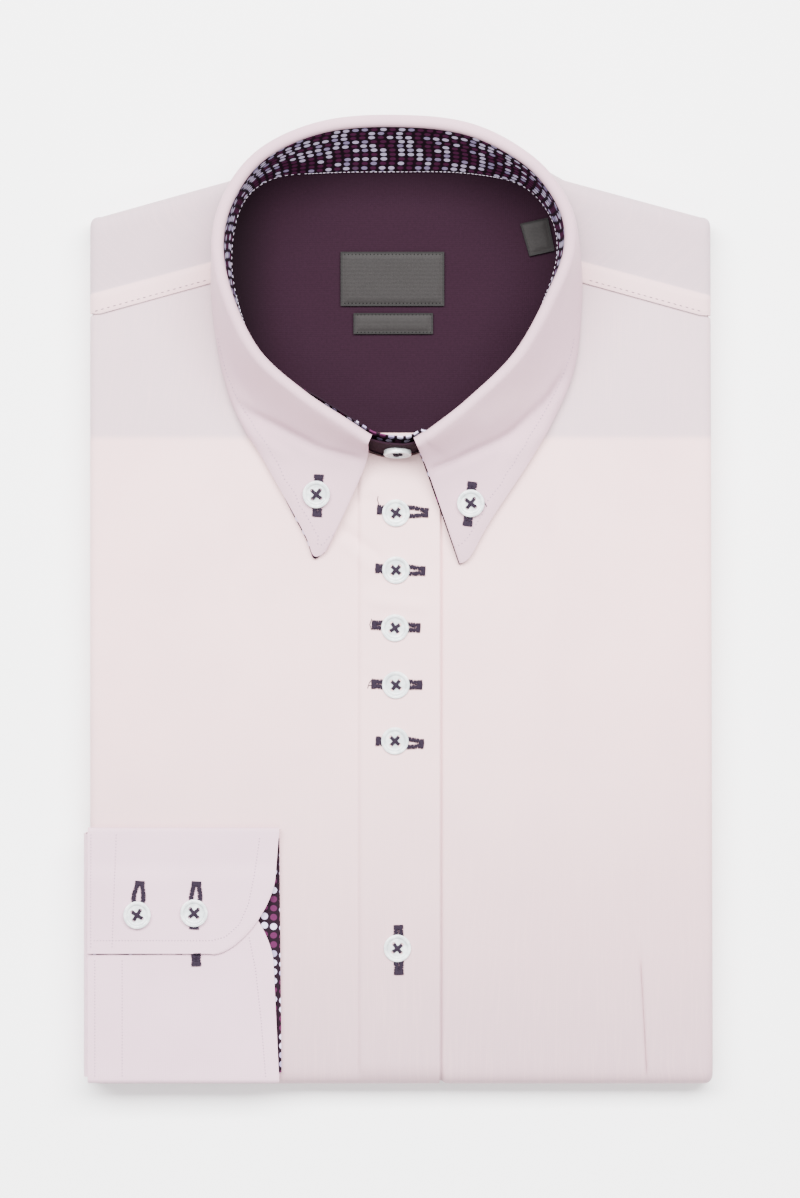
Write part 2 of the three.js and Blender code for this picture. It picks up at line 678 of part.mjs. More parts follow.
// The end of the sleeve, out of the cuff's seam and round the left side of the package.
function sleeveEnd() {
  const top = frontTop + gap + 2 * layer - gap;
  const { inX, sideX: outX, radius, foot } = sleeve;
  const profile = [[inX, top], [outX + radius + 2, top], [outX + radius, top]];
  for (const degrees of [30, 60, 90]) {
    const turn = THREE.MathUtils.degToRad(degrees);
    profile.push([outX + radius - radius * Math.sin(turn), top - radius * (1 - Math.cos(turn))]);
  }
  profile.push([outX, (top + foot) / 2], [outX, foot + radius]);
  for (const degrees of [30, 55, 75]) {
    const turn = THREE.MathUtils.degToRad(degrees);
    profile.push([outX + radius * (1 - Math.cos(turn)), foot + radius * (1 - Math.sin(turn))]);
  }
  const grid = spread(sleeve.top, sleeve.bottom, 4).map((y) => (
    profile.map(([x, z]) => new THREE.Vector3(x, y, z))
  ));
  const inside = Math.sign(offsetGrid(grid, 1)[0][0].z - grid[0][0].z);
  return mesh('sleeve_end', sheetSolid(grid, offsetGrid(grid, -inside * wall)), materials.cotton);
}

// A button with a raised rim, its foot at the origin and its axis along Z.
function buttonGeometry() {
  const { radius, thick, rim, wellRadius } = button;
  const profile = [
    [0, 0], [radius - 1.2, 0], [radius, 0.9], [radius, thick - 0.6], [radius - 0.7, thick],
    [wellRadius + 0.5, thick], [wellRadius, thick - rim], [0, thick - rim],
  ].map(([x, y]) => new THREE.Vector2(x, y));
  const turned = new THREE.LatheGeometry(profile, 12);
  turned.rotateX(Math.PI / 2);
  turned.deleteAttribute('normal');
  turned.deleteAttribute('uv');
  const merged = mergeVertices(turned, 1e-4);
  merged.computeVertexNormals();
  return merged;
}

function placeButton(name, spot, axis = new THREE.Vector3(0, 0, 1)) {
  const piece = mesh(name, buttonGeometry(), materials.pearl);
  piece.position.copy(spot).addScaledVector(axis, gap);
  piece.quaternion.setFromUnitVectors(new THREE.Vector3(0, 0, 1), axis);
  return piece;
}

// The leaf's upper face and its direction nearest to a place seen from above.
function onLeaf(x, y) {
  const lifted = offsetGrid(leaf, leafSide);
  let best = { distance: Infinity };
  leaf.forEach((row, r) => row.forEach((point, c) => {
    const distance = Math.hypot(point.x - x, point.y - y);
    if (distance < best.distance && point.z < 30) {
      best = { distance, spot: point, axis: lifted[r][c].clone().sub(point) };
    }
  }));
  const { spot, axis } = best;
  const z = spot.z - ((x - spot.x) * axis.x + (y - spot.y) * axis.y) / axis.z;
  return { spot: new THREE.Vector3(x, y, z), axis };
}

function labelPiece(name, points, base) {
  const shape = new THREE.Shape(points.map(([x, y]) => new THREE.Vector2(x, y)));
  return mesh(name, slab(shape, base, base + labelThick, 0), materials.satin);
}

const corners = ({ left, right, bottom, top }) => [[left, bottom], [right, bottom], [right, top], [left, top]];

function shirt() {
  const group = new THREE.Group();
  group.add(foldedStack(), innerYoke(), frontRight(), frontLeft(), outerYoke());
  group.add(standLayer('stand_facing', 0, wall, gap, materials.print));
  group.add(standLayer('collar_stand', layer, layer + wall, 0, materials.lining));
  group.add(collarLeaf(), underCollar());
  group.add(sleeveEnd(), cuffPiece(), cuffFacing());
  group.add(labelPiece('main_label', corners(mainLabel), innerYokeTop + gap));
  group.add(labelPiece('small_label', corners(smallLabel), innerYokeTop + gap));
  group.add(labelPiece('size_tab', sizeTab, innerYokeTop + gap));

  for (const { name, x, y } of placketButtons) {
    group.add(placeButton(name, new THREE.Vector3(x, y, placketTop)));
  }
  const cuffTop = frontTop + gap + 3 * layer + wall;
  for (const { name, x, y } of cuffButtons) group.add(placeButton(name, new THREE.Vector3(x, y, cuffTop)));
  for (const { name, x, y } of pointButtons) {
    const { spot, axis } = onLeaf(x, y);
    group.add(placeButton(name, spot.addScaledVector(axis, pointShank), axis));
  }
  const front = ring[ring.length - 4];
  const standBase = innerYokeTop + gap;
  const standTop = front.crest - foldRadius - seamDrop;
  const outer = layer + wall + 0.6;
  const faceY = THREE.MathUtils.lerp(front.foot.y, front.top.y, standButton.rise) - outer;
  const faceZ = THREE.MathUtils.lerp(standBase, standTop, standButton.rise);
  const axis = new THREE.Vector3(0, standBase - standTop, front.top.y - front.foot.y).normalize();
  group.add(placeButton(standButton.name, new THREE.Vector3(standButton.x, faceY, faceZ), axis));
  return group;
}

export default shirt();
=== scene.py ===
import math
import random
import bpy
import bmesh
from mathutils import Matrix, Vector, noise
from mathutils.bvhtree import BVHTree


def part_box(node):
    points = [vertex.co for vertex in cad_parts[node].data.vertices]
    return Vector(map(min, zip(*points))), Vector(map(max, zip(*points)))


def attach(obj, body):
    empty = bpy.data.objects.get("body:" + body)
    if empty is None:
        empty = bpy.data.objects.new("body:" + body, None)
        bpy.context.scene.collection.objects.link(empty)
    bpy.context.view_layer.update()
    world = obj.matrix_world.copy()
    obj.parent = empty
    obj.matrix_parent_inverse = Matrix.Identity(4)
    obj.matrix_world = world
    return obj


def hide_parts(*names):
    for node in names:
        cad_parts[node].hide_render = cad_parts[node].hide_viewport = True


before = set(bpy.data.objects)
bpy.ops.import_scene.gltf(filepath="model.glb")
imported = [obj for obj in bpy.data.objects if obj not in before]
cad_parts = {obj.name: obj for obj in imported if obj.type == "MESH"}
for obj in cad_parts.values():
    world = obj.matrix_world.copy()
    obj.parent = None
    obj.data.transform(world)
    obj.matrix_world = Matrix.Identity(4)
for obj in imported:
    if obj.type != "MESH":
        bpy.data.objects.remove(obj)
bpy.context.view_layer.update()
random.seed(7)
mm = 0.001
print("frame loaded", len(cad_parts), "nodes")


# small helpers
def smooth(t):
    t = min(1.0, max(0.0, t))
    return t * t * (3 - 2 * t)


def mix(a, b, t):
    return a + (b - a) * t


def spread(start, end, step):
    count = max(1, round(abs(end - start) / step))
    return [mix(start, end, k / count) for k in range(count + 1)]


def ripple(x, y, size, seed=0.0):
    return noise.noise(Vector((x / size, y / size, seed)))


def placed(name, data):                                # a new object in the scene
    piece = bpy.data.objects.new(name, data)
    bpy.context.scene.collection.objects.link(piece)
    return piece


# camera, light and floor
stage = {
    "cameraAt": (0.97, 1.55, 2200.0), "fieldHeight": 491.2, "focusHeight": 16.0,
    "floorSize": 9.0, "floorColour": (0.97, 0.97, 0.97), "worldColour": (1.0, 1.0, 1.0),
    "worldStrength": 0.95,
}
lampTable = [
    # name, place in metres, size in x and y, watts, colour
    ("overheadSoft", (0.0, 1.1, 2.1), (4.0, 1.1), 400.0, (1.0, 0.998, 0.994)),
    ("lowFill", (0.0, -1.4, 1.9), (1.6, 0.8), 30.0, (0.99, 0.995, 1.0)),
]


def makeStage():
    camera = bpy.data.cameras.new("camera")
    holder = placed("camera", camera)
    holder.location = [c * mm for c in stage["cameraAt"]]
    distance = stage["cameraAt"][2] - stage["focusHeight"]
    camera.sensor_fit = "VERTICAL"
    camera.sensor_height = 36.0
    camera.lens = 36.0 * distance / stage["fieldHeight"]
    camera.clip_start = 0.05
    bpy.context.scene.camera = holder
    for name, place, (wide, high), watts, colour in lampTable:
        lamp = bpy.data.lights.new(name, "AREA")
        lamp.energy = watts
        lamp.shape = "RECTANGLE"
        lamp.size = wide
        lamp.size_y = high
        lamp.color = colour
        lampHolder = placed(name, lamp)
        lampHolder.location = place
        lampHolder.rotation_euler = (-Vector(place)).to_track_quat("-Z", "Y").to_euler()
    world = bpy.data.worlds.new("studio")
    world.use_nodes = True
    backdrop = world.node_tree.nodes["Background"]
    backdrop.inputs["Color"].default_value = (*stage["worldColour"], 1)
    backdrop.inputs["Strength"].default_value = stage["worldStrength"]
    bpy.context.scene.world = world


# shader nodes
class Sum:                                             # a socket that takes part in sums
    def __init__(self, tree, socket):
        self.tree = tree
        self.socket = socket

    def with_(self, operation, *others):
        made = self.tree.nodes.new("ShaderNodeMath")
        made.operation = operation
        for place, value in enumerate(others):
            if isinstance(value, Sum):
                self.tree.links.new(value.socket, made.inputs[place])
            else:
                made.inputs[place].default_value = value
        return Sum(self.tree, made.outputs[0])

    def __add__(self, other):
        return self.with_("ADD", self, other)

    def __sub__(self, other):
        return self.with_("SUBTRACT", self, other)

    def __mul__(self, other):
        return self.with_("MULTIPLY", self, other)

    def __truediv__(self, other):
        return self.with_("DIVIDE", self, other)

    def __radd__(self, other):
        return self.with_("ADD", other, self)

    def __rsub__(self, other):
        return self.with_("SUBTRACT", other, self)

    def __rmul__(self, other):
        return self.with_("MULTIPLY", other, self)

    def sine(self):
        return self.with_("SINE", self)

    def size(self):
        return self.with_("ABSOLUTE", self)

    def whole(self):
        return self.with_("FLOOR", self)

    def part(self):
        return self.with_("FRACT", self)

    def root(self):
        return self.with_("SQRT", self)

    def step(self, low, high):                        # smooth rise from 0 at low to 1 at high
        made = self.tree.nodes.new("ShaderNodeMapRange")
        made.interpolation_type = "SMOOTHSTEP"
        self.tree.links.new(self.socket, made.inputs["Value"])
        made.inputs["From Min"].default_value = low
        made.inputs["From Max"].default_value = high
        return Sum(self.tree, made.outputs["Result"])


class Finish:                                          # one material and its nodes
    def __init__(self, name, **settings):
        self.material = bpy.data.materials.new(name)
        self.material.use_nodes = True
        self.tree = self.material.node_tree
        self.shader = self.tree.nodes["Principled BSDF"]
        for key, value in settings.items():
            self.shader.inputs[key.replace("_", " ")].default_value = value

    def node(self, kind, settings=None, inputs=None, output=0):
        made = self.tree.nodes.new(kind)
        for key, value in (settings or {}).items():
            setattr(made, key, value)
        for key, value in (inputs or {}).items():
            if isinstance(value, Sum):
                self.tree.links.new(value.socket, made.inputs[key])
            else:
                made.inputs[key].default_value = value
        return Sum(self.tree, made.outputs[output])

    def place(self, source):                           # x, y, z in millimetres
        if source == "cloth":
            spot = self.node("ShaderNodeUVMap", {"uv_map": "cloth"})
            scale = 1.0
        else:
            spot = self.node("ShaderNodeTexCoord", output=3)
            scale = 1000.0
        sized = self.node("ShaderNodeVectorMath", {"operation": "SCALE"}, {0: spot, "Scale": scale})
        parts = self.tree.nodes.new("ShaderNodeSeparateXYZ")
        self.tree.links.new(sized.socket, parts.inputs[0])
        return [Sum(self.tree, out) for out in parts.outputs] + [sized]

    def noise(self, vector, size, detail=2.0, roughness=0.5):
        return self.node("ShaderNodeTexNoise", {}, {
            "Vector": vector, "Scale": 1.0 / size, "Detail": detail, "Roughness": roughness})

    def blend(self, mask, first, second):
        made = self.tree.nodes.new("ShaderNodeMix")
        made.data_type = "RGBA"
        self.tree.links.new(mask.socket, made.inputs[0])
        for place, value in ((6, first), (7, second)):
            if isinstance(value, Sum):
                self.tree.links.new(value.socket, made.inputs[place])
            else:
                made.inputs[place].default_value = (*value, 1)
        return Sum(self.tree, made.outputs[2])

    def feed(self, name, value):
        self.tree.links.new(value.socket, self.shader.inputs[name])

    def relief(self, height, strength, distance):
        made = self.node("ShaderNodeBump", {}, {"Height": height, "Strength": strength, "Distance": distance})
        self.feed("Normal", made)


# finishes
weave = {"threadPitch": 0.86, "strength": 0.16, "depth": 0.00022}


def weaveHeight(finish, u, v, spot):
    turn = 2 * math.pi / weave["threadPitch"]
    over = (u * turn).sine() * 0.5 + (v * turn).sine() * 0.5
    slub = finish.noise(spot, 2.6, 3.0)
    return over * 0.5 + slub * 0.9


def cottonFinish(name, base, shade, showThrough=None, paintedFalloff=None):
    finish = Finish(name, Roughness=0.82, Sheen_Weight=0.12, Sheen_Roughness=0.45,
                    Specular_IOR_Level=0.22)
    u, v, _, spot = finish.place("cloth")
    mottle = finish.noise(spot, 46.0, 3.0).step(0.32, 0.72)
    colour = finish.blend(mottle, base, shade)
    # painted shade: the cloth darkens towards the bottom, standing in for the light falling off there
    if paintedFalloff:
        _, y, _, _ = finish.place("object")
        colour = finish.blend(y.step(paintedFalloff["low"], paintedFalloff["high"]), paintedFalloff["colour"], colour)
    if showThrough:
        x, y, _, _ = finish.place("object")
        dark = y.step(showThrough["edge"] - 2.2, showThrough["edge"] + 1.6)
        band = showThrough.get("band")
        if band:                                       # seam allowances hide the dark yoke here
            reach = (x.size() - band["innerX"]) / (band["outerX"] - band["innerX"])
            past = y - (band["innerY"] + reach * (band["outerY"] - band["innerY"]))
            dark = dark * (1.0 - past.step(-0.6, 0.4) * (1.0 - past.step(band["high"] - 1.2, band["high"])))
        colour = finish.blend(dark * showThrough["share"], colour, showThrough["colour"])
    streak = finish.node("ShaderNodeTexNoise", {}, {
        "Vector": finish.node("ShaderNodeVectorMath", {"operation": "MULTIPLY"},
                              {0: spot, 1: (0.9, 0.04, 1.0)}), "Scale": 1.0, "Detail": 2.0})
    colour = finish.blend(streak.step(0.45, 0.8) * 0.16, colour, [c * 0.93 for c in base])
    finish.feed("Base Color", colour)
    finish.relief(weaveHeight(finish, u, v, spot), weave["strength"], weave["depth"])
    return finish.material


dotPrint = {
    "pitch": 3.72, "dot": 1.43, "ground": (0.0088, 0.0030, 0.0070),
    "white": (0.50, 0.43, 0.60), "lilac": (0.26, 0.21, 0.35), "magenta": (0.062, 0.011, 0.042),
}


def printFinish(name):
    finish = Finish(name, Roughness=0.8, Sheen_Weight=0.0, Specular_IOR_Level=0.08)
    u, v, _, spot = finish.place("cloth")
    wobble = finish.noise(spot, 5.0, 1.0) - 0.5
    cellU = u / dotPrint["pitch"]
    shift = finish.node("ShaderNodeTexWhiteNoise", {"noise_dimensions": "1D"}, {"W": cellU.whole()})
    cellV = v / dotPrint["pitch"] + wobble * 0.14 + shift * 0.35
    acrossU = (cellU.part() - 0.5) * dotPrint["pitch"]
    acrossV = (cellV.part() - 0.5) * dotPrint["pitch"]
    away = (acrossU * acrossU + acrossV * acrossV * 1.15).root()
    cell = finish.node("ShaderNodeCombineXYZ", {}, {0: cellU.whole(), 1: cellV.whole()})
    chance = finish.node("ShaderNodeTexWhiteNoise", {"noise_dimensions": "2D"}, {"Vector": cell})
    dots = finish.blend(chance.step(0.46, 0.47), dotPrint["magenta"], dotPrint["lilac"])
    dots = finish.blend(chance.step(0.60, 0.61), dots, dotPrint["white"])
    mask = 1.0 - away.step(dotPrint["dot"] - 0.14, dotPrint["dot"] + 0.1)
    finish.feed("Base Color", finish.blend(mask, dotPrint["ground"], dots))
    finish.relief(weaveHeight(finish, u, v, spot), weave["strength"], weave["depth"])
    return finish.material


def liningFinish(name, base, shade):
    finish = Finish(name, Roughness=0.75, Sheen_Weight=0.0, Specular_IOR_Level=0.06)
    u, v, _, spot = finish.place("cloth")
    fleck = finish.noise(spot, 1.1, 3.0)
    x, _, _, _ = finish.place("object")
    colour = finish.blend(fleck.step(0.3, 0.75), base, shade)
    # painted shadow: left of x = -46 mm the lining darkens to 45 % of its shade tone, where the collar wall casts
    # shadow
    finish.feed("Base Color", finish.blend(x.step(-70.0, -46.0), [c * 0.45 for c in shade], colour))
    finish.relief(weaveHeight(finish, u, v, spot), weave["strength"] * 1.3, weave["depth"])
    return finish.material


def threadFinish(name, base):
    finish = Finish(name, Roughness=0.65, Sheen_Weight=0.0, Specular_IOR_Level=0.12)
    _, _, _, spot = finish.place("object")
    finish.feed("Base Color", finish.blend(finish.noise(spot, 0.5, 1.0), base, [c * 1.7 for c in base]))
    return finish.material


def pearlFinish(name):
    finish = Finish(name, Roughness=0.22, Coat_Weight=0.5, Coat_Roughness=0.08, IOR=1.53)
    _, _, _, spot = finish.place("object")
    swirl = finish.noise(spot, 3.2, 2.0, 0.6)
    finish.feed("Base Color", finish.blend(swirl.step(0.35, 0.7), (0.50, 0.535, 0.55), (0.74, 0.76, 0.765)))
    return finish.material


def satinFinish(name, base):
    finish = Finish(name, Roughness=0.55, Sheen_Weight=0.0, Specular_IOR_Level=0.14)
    _, y, _, spot = finish.place("object")
    ribs = (y * (2 * math.pi / 0.55)).sine()
    fleck = finish.noise(spot, 0.7, 2.0)
    finish.feed("Base Color", finish.blend(fleck.step(0.3, 0.8), base, [c * 1.35 for c in base]))
    finish.relief(ribs * 0.5 + fleck * 0.6, 0.16, 0.0002)
    return finish.material


def floorFinish(name):
    finish = Finish(name, Roughness=0.9, Specular_IOR_Level=0.1)
    _, _, _, spot = finish.place("object")
    tone = stage["floorColour"]
    finish.feed("Base Color", finish.blend(finish.noise(spot, 300.0), tone, [c * 0.995 for c in tone]))
    return finish.material


makeStage()
yokeBand = {"innerX": 76.0, "outerX": 127.0, "innerY": 131.0, "outerY": 117.4, "high": 9.5}
finishes = {
    "front": cottonFinish("frontCotton", (0.80, 0.525, 0.53), (0.755, 0.495, 0.505),
                          {"edge": 68.0, "share": 0.92, "colour": (0.515, 0.38, 0.42)},
                          # painted shade: the fronts darken towards the bottom, where less light falls
                          {"low": -235.0, "high": 15.0, "colour": (0.43, 0.285, 0.322)}),
    "yoke": cottonFinish("yokeCotton", (0.70, 0.47, 0.485), (0.66, 0.44, 0.46),
                         {"edge": 68.0, "share": 0.95, "colour": (0.435, 0.325, 0.365), "band": yokeBand}),
    "collar": cottonFinish("collarCotton", (0.53, 0.34, 0.40), (0.495, 0.312, 0.378)),
    "cuff": cottonFinish("cuffCotton", (0.60, 0.40, 0.48), (0.565, 0.375, 0.455)),
    "back": cottonFinish("backCotton", (0.72, 0.48, 0.49), (0.66, 0.44, 0.455)),
    "print": printFinish("dotPrint"),
    "lining": liningFinish("plumLining", (0.0122, 0.0034, 0.0086), (0.0104, 0.0028, 0.0072)),
    "plumThread": threadFinish("plumThread", (0.0105, 0.0058, 0.0125)),
    "paleThread": threadFinish("paleThread", (0.27, 0.20, 0.255)),
    "blackThread": threadFinish("blackThread", (0.0022, 0.0018, 0.0020)),
    "greyThread": threadFinish("greyThread", (0.105, 0.078, 0.10)),
    "whiteThread": threadFinish("whiteThread", (0.50, 0.44, 0.52)),
    "pearl": pearlFinish("pearl"),
    "satin": satinFinish("labelSatin", (0.0090, 0.0076, 0.0075)),
    "satinEdge": satinFinish("labelEdge", (0.0040, 0.0034, 0.0033)),
    "floor": floorFinish("floorPaper"),
}
print("finishes made")


# cloth from grids, in millimetres
def normalsOf(grid, ringRows=False):
    rows, columns = len(grid), len(grid[0])
    found = []
    for r in range(rows):
        before = grid[(r - 1) % rows] if ringRows else grid[max(r - 1, 0)]
        after = grid[(r + 1) % rows] if ringRows else grid[min(r + 1, rows - 1)]
        line = []
        for c in range(columns):
            along = grid[r][min(c + 1, columns - 1)] - grid[r][max(c - 1, 0)]
            line.append(along.cross(after[c] - before[c]).normalized())
        found.append(line)
    return found


def moved(grid, distance, ringRows=False):
    normals = normalsOf(grid, ringRows)
    shift = distance if callable(distance) else (lambda r, c: distance)
    return [[p + normals[r][c] * shift(r, c) for c, p in enumerate(row)] for r, row in enumerate(grid)]


def lengthsAlong(grid, panelRow=None):                 # cloth coordinates: u across each row, v down the columns
    rows, columns = len(grid), len(grid[0])
    half = columns // 2
    spots = [[[0.0, 0.0] for _ in range(columns)] for _ in range(rows)]
    for r in range(rows):
        spots[r][half][0] = grid[r][half].x if panelRow is not None else 0.0
        for c in range(half + 1, columns):
            spots[r][c][0] = spots[r][c - 1][0] + (grid[r][c] - grid[r][c - 1]).length
        for c in range(half - 1, -1, -1):
            spots[r][c][0] = spots[r][c + 1][0] - (grid[r][c] - grid[r][c + 1]).length
    for c in range(columns):
        line = c if panelRow is not None else half
        first = panelRow or 0
        way = 1 if grid[min(first + 1, rows - 1)][line].y > grid[first][line].y or panelRow is None else -1
        spots[first][c][1] = grid[first][line].y if panelRow is not None else 0.0
        for r in range(first + 1, rows):
            spots[r][c][1] = spots[r - 1][c][1] + way * (grid[r][line] - grid[r - 1][line]).length
        for r in range(first - 1, -1, -1):
            spots[r][c][1] = spots[r + 1][c][1] - way * (grid[r][line] - grid[r + 1][line]).length
    return spots


def clothPiece(name, grid, thickness, finish, nodes, uv=None, ringRows=False,
               declare=True, extraSlots=()):
    rows, columns = len(grid), len(grid[0])
    uv = uv or lengthsAlong(grid)
    mesh = bpy.data.meshes.new(name)
    verts = [p * mm for row in grid for p in row]
    faces = []
    lastRow = rows if ringRows else rows - 1
    for r in range(lastRow):
        for c in range(columns - 1):
            low, high = r * columns + c, ((r + 1) % rows) * columns + c
            faces.append((low, low + 1, high + 1, high))
    mesh.from_pydata(verts, [], faces)
    layer = mesh.uv_layers.new(name="cloth")
    ringLength = sum((grid[(r + 1) % rows][columns // 2] - grid[r][columns // 2]).length for r in range(rows))
    flatArea = 0.0
    for polygon in mesh.polygons:
        corners = []
        for loop in polygon.loop_indices:
            vertex = mesh.loops[loop].vertex_index
            u, v = uv[vertex // columns][vertex % columns]
            corners.append([u, v])
        if ringRows and polygon.index // (columns - 1) == rows - 1:
            for corner in corners:
                if corner[1] < ringLength / 2:
                    corner[1] += ringLength
        for loop, corner in zip(polygon.loop_indices, corners):
            layer.data[loop].uv = corner
        flatArea += abs(sum(
            corners[k][0] * corners[(k + 1) % 4][1] - corners[(k + 1) % 4][0] * corners[k][1]
            for k in range(4))) / 2
    piece = placed(name, mesh)
    for used in (finish, *extraSlots):
        mesh.materials.append(finishes[used])
    if thickness:
        wall = piece.modifiers.new("wall", "SOLIDIFY")
        wall.thickness = abs(thickness) * mm
        wall.offset = -1.0
        if thickness < 0:
            mesh.flip_normals()
        applyAll(piece)
    for vertex in piece.data.vertices:                 # nothing dips below the floor
        vertex.co.z = max(vertex.co.z, 0.0)
    smoothShade(piece)
    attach(piece, "root")
    if nodes:
        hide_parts(*nodes)
    if declare:
        us = [p[0] for row in uv for p in row]
        vs = [p[1] for row in uv for p in row]
        high = ringLength if ringRows else max(vs) - min(vs)
        size = ((max(us) - min(us)) * mm, high * mm)
        area = min(flatArea * mm * mm, size[0] * size[1])
        print("sheet", name, [round(s * 1000, 1) for s in size], "mm")
    return piece


def selectOnly(piece):
    bpy.ops.object.select_all(action="DESELECT")
    piece.select_set(True)
    bpy.context.view_layer.objects.active = piece


def applyAll(piece):
    selectOnly(piece)
    for modifier in list(piece.modifiers):
        bpy.ops.object.modifier_apply(modifier=modifier.name)


def smoothShade(piece, angle=50):
    selectOnly(piece)
    bpy.ops.object.shade_smooth_by_angle(angle=math.radians(angle))


class Top:                                             # finds a piece's surface from above
    def __init__(self, *pieces):
        self.trees = []
        for piece in pieces:
            mesh = piece.data
            self.trees.append(BVHTree.FromPolygons([v.co.copy() for v in mesh.vertices],
                                                   [tuple(p.vertices) for p in mesh.polygons]))

    def at(self, x, y):
        best = None
        for tree in self.trees:
            spot, normal, _, _ = tree.ray_cast(Vector((x * mm, y * mm, 0.2)), Vector((0, 0, -1)))
            if spot is not None and (best is None or spot.z > best[0].z):
                best = (spot, normal if normal.z > 0 else -normal)
        return best


# sizes shared with the solids
package = {
    "leftSide": -125.7, "rightSideTop": 127.9, "rightSideBottom": 128.9, "bottomFold": -197.1,
    "shoulderCorner": 157.0, "collarCornerX": 68.0, "collarCornerY": 173.2, "backOfNeckFold": 187.4,
    "sideRadius": 3.9, "endRadius": 7.35, "lip": 6.0, "sideTurn": 165.0, "cornerTurn": 88.0, "endTurn": 160.0,
    "frontTop": 15.1, "layer": 1.3, "innerYokeTop": 13.8, "yokeLap": 6.0, "gap": 0.3,
}
yokeSeam = {"outerY": 117.6, "innerY": 131.4, "innerX": 76.0}
placket = {
    "edge": 17.2, "inside": -15.4, "ramp": 2.2, "underEdge": -12.5,
    "grooveDepth": 0.9, "grooveAway": 0.8, "grooveWidth": 0.7,
}
dart = {"x": 99.6, "slant": 0.056, "start": -146.0, "fade": 16.0, "height": -1.3, "width": 1.0}
collarTable = [
    # stand top x, y, crest, bend x, y, z, edge x, y, z, stand foot x, y
    (-10.4, 68.4, 36.5, -12.9, 57.5, 24.5, -28.9, 21.2, 18.4, -9.7, 64.1),
    (-14.5, 70.9, 37.0, -21.1, 59.6, 23.2, -34.3, 19.2, 18.4, -14.2, 66.2),
    (-20.6, 74.9, 38.0, -29.7, 62.0, 22.6, -38.8, 29.4, 18.5, -21.2, 70.1),
    (-37.8, 86.2, 40.0, -48.1, 70.6, 22.3, -53.9, 56.4, 18.7, -39.9, 82.8),
    (-55.8, 102.5, 43.0, -65.1, 91.7, 26.0, -68.6, 82.2, 19.0, -57.1, 101.7),
    (-66.8, 125.0, 46.0, -73.0, 120.7, 33.0, -75.8, 113.7, 18.2, -66.3, 125.7),
    (-70.4, 145.5, 48.0, -75.6, 145.3, 36.0, -76.2, 142.0, 18.0, -68.0, 146.4),
    (-65.7, 163.6, 50.0, -70.3, 166.9, 34.0, -71.2, 167.8, 18.6, -63.0, 164.7),
    (-52.7, 179.6, 52.0, -56.2, 184.0, 34.0, -56.5, 184.4, 13.0, -50.3, 174.3),
    (-29.3, 189.8, 53.0, -30.6, 195.2, 34.0, -30.8, 195.4, 10.5, -28.6, 176.5),
    (0.2, 192.0, 53.5, 0.2, 197.0, 34.0, 0.1, 197.0, 10.0, 0.1, 176.9),
    (28.4, 188.6, 53.0, 30.0, 193.9, 34.0, 30.3, 194.2, 10.5, 27.6, 176.4),
    (51.8, 176.4, 51.8, 55.5, 180.4, 34.0, 56.2, 180.9, 13.6, 50.0, 171.7),
    (64.8, 160.0, 49.8, 69.9, 162.3, 34.0, 71.0, 162.4, 19.0, 61.9, 160.0),
    (67.3, 144.3, 48.0, 73.3, 143.4, 34.0, 75.5, 140.3, 18.0, 65.6, 145.6),
    (61.3, 127.1, 46.0, 69.9, 123.8, 33.0, 75.9, 119.5, 18.2, 61.5, 127.9),
    (47.6, 102.1, 43.0, 62.9, 98.1, 29.0, 72.0, 92.9, 19.0, 49.0, 102.1),
    (28.8, 83.4, 40.0, 46.7, 71.8, 23.0, 58.5, 65.0, 18.9, 30.7, 81.2),
    (13.8, 71.6, 38.0, 26.7, 59.2, 22.8, 38.2, 33.7, 18.6, 14.9, 68.2),
    (9.5, 69.0, 37.0, 18.9, 56.1, 23.4, 30.0, 19.2, 18.5, 10.2, 65.4),
    (6.5, 67.2, 36.5, 12.6, 53.4, 24.8, 25.5, 15.9, 18.5, 6.5, 63.7),
]
neckFrontTable = [(3.0, 66.4, 36.2, 3.0, 62.7), (-0.3, 66.5, 36.1, -0.3, 62.6), (-5.1, 67.0, 36.2, -5.2, 62.7)]
foldRadius = (3 * package["layer"] + 1.0) / 2
neckSeamRoom = 3.1
ringSteps = 8


def smoothRows(rows, steps, closed):
    count = len(rows)

    def pick(k):
        return rows[k % count] if closed else rows[min(max(k, 0), count - 1)]

    result = []
    for k in range(count if closed else count - 1):
        a, b, c, d = pick(k - 1), pick(k), pick(k + 1), pick(k + 2)
        for s in range(steps):
            t = s / steps
            result.append([q + 0.5 * t * (r - p + t * (2 * p - 5 * q + 4 * r - z + t * (3 * (q - r) + z - p)))
                           for p, q, r, z in zip(a, b, c, d)])
    if not closed:
        result.append(list(rows[-1]))
    return result


def neckRing():
    rows = smoothRows([(*row[:3], *row[9:11]) for row in collarTable] + neckFrontTable, ringSteps, True)
    made = []
    for k, row in enumerate(rows):
        before, after = rows[k - 1], rows[(k + 1) % len(rows)]
        topOut = Vector((before[1] - after[1], after[0] - before[0], 0)).normalized()
        footOut = Vector((before[4] - after[4], after[3] - before[3], 0)).normalized()
        made.append({"top": Vector((row[0], row[1], 0)), "foot": Vector((row[3], row[4], 0)), "crest": row[2],
                     "topOut": topOut, "footOut": footOut})
    return made


ring = neckRing()
neckEdge = [s["foot"] + s["footOut"] * neckSeamRoom for s in ring]
neckLeft = min(p.x for p in neckEdge)
neckRight = max(p.x for p in neckEdge)


def neckY(x, back):
    best = -1e9 if back else 1e9
    for k, p in enumerate(neckEdge):
        q = neckEdge[(k + 1) % len(neckEdge)]
        if (p.x - x) * (q.x - x) > 0 or p.x == q.x:
            continue
        y = p.y + (q.y - p.y) * (x - p.x) / (q.x - p.x)
        if back and y >= 138:
            best = max(best, y)
        if not back and y <= 154:
            best = min(best, y)
    return best


def sideX(side, y):
    if side < 0:
        return package["leftSide"]
    t = (package["shoulderCorner"] - y) / (package["shoulderCorner"] - package["bottomFold"])
    return mix(package["rightSideTop"], package["rightSideBottom"], t)


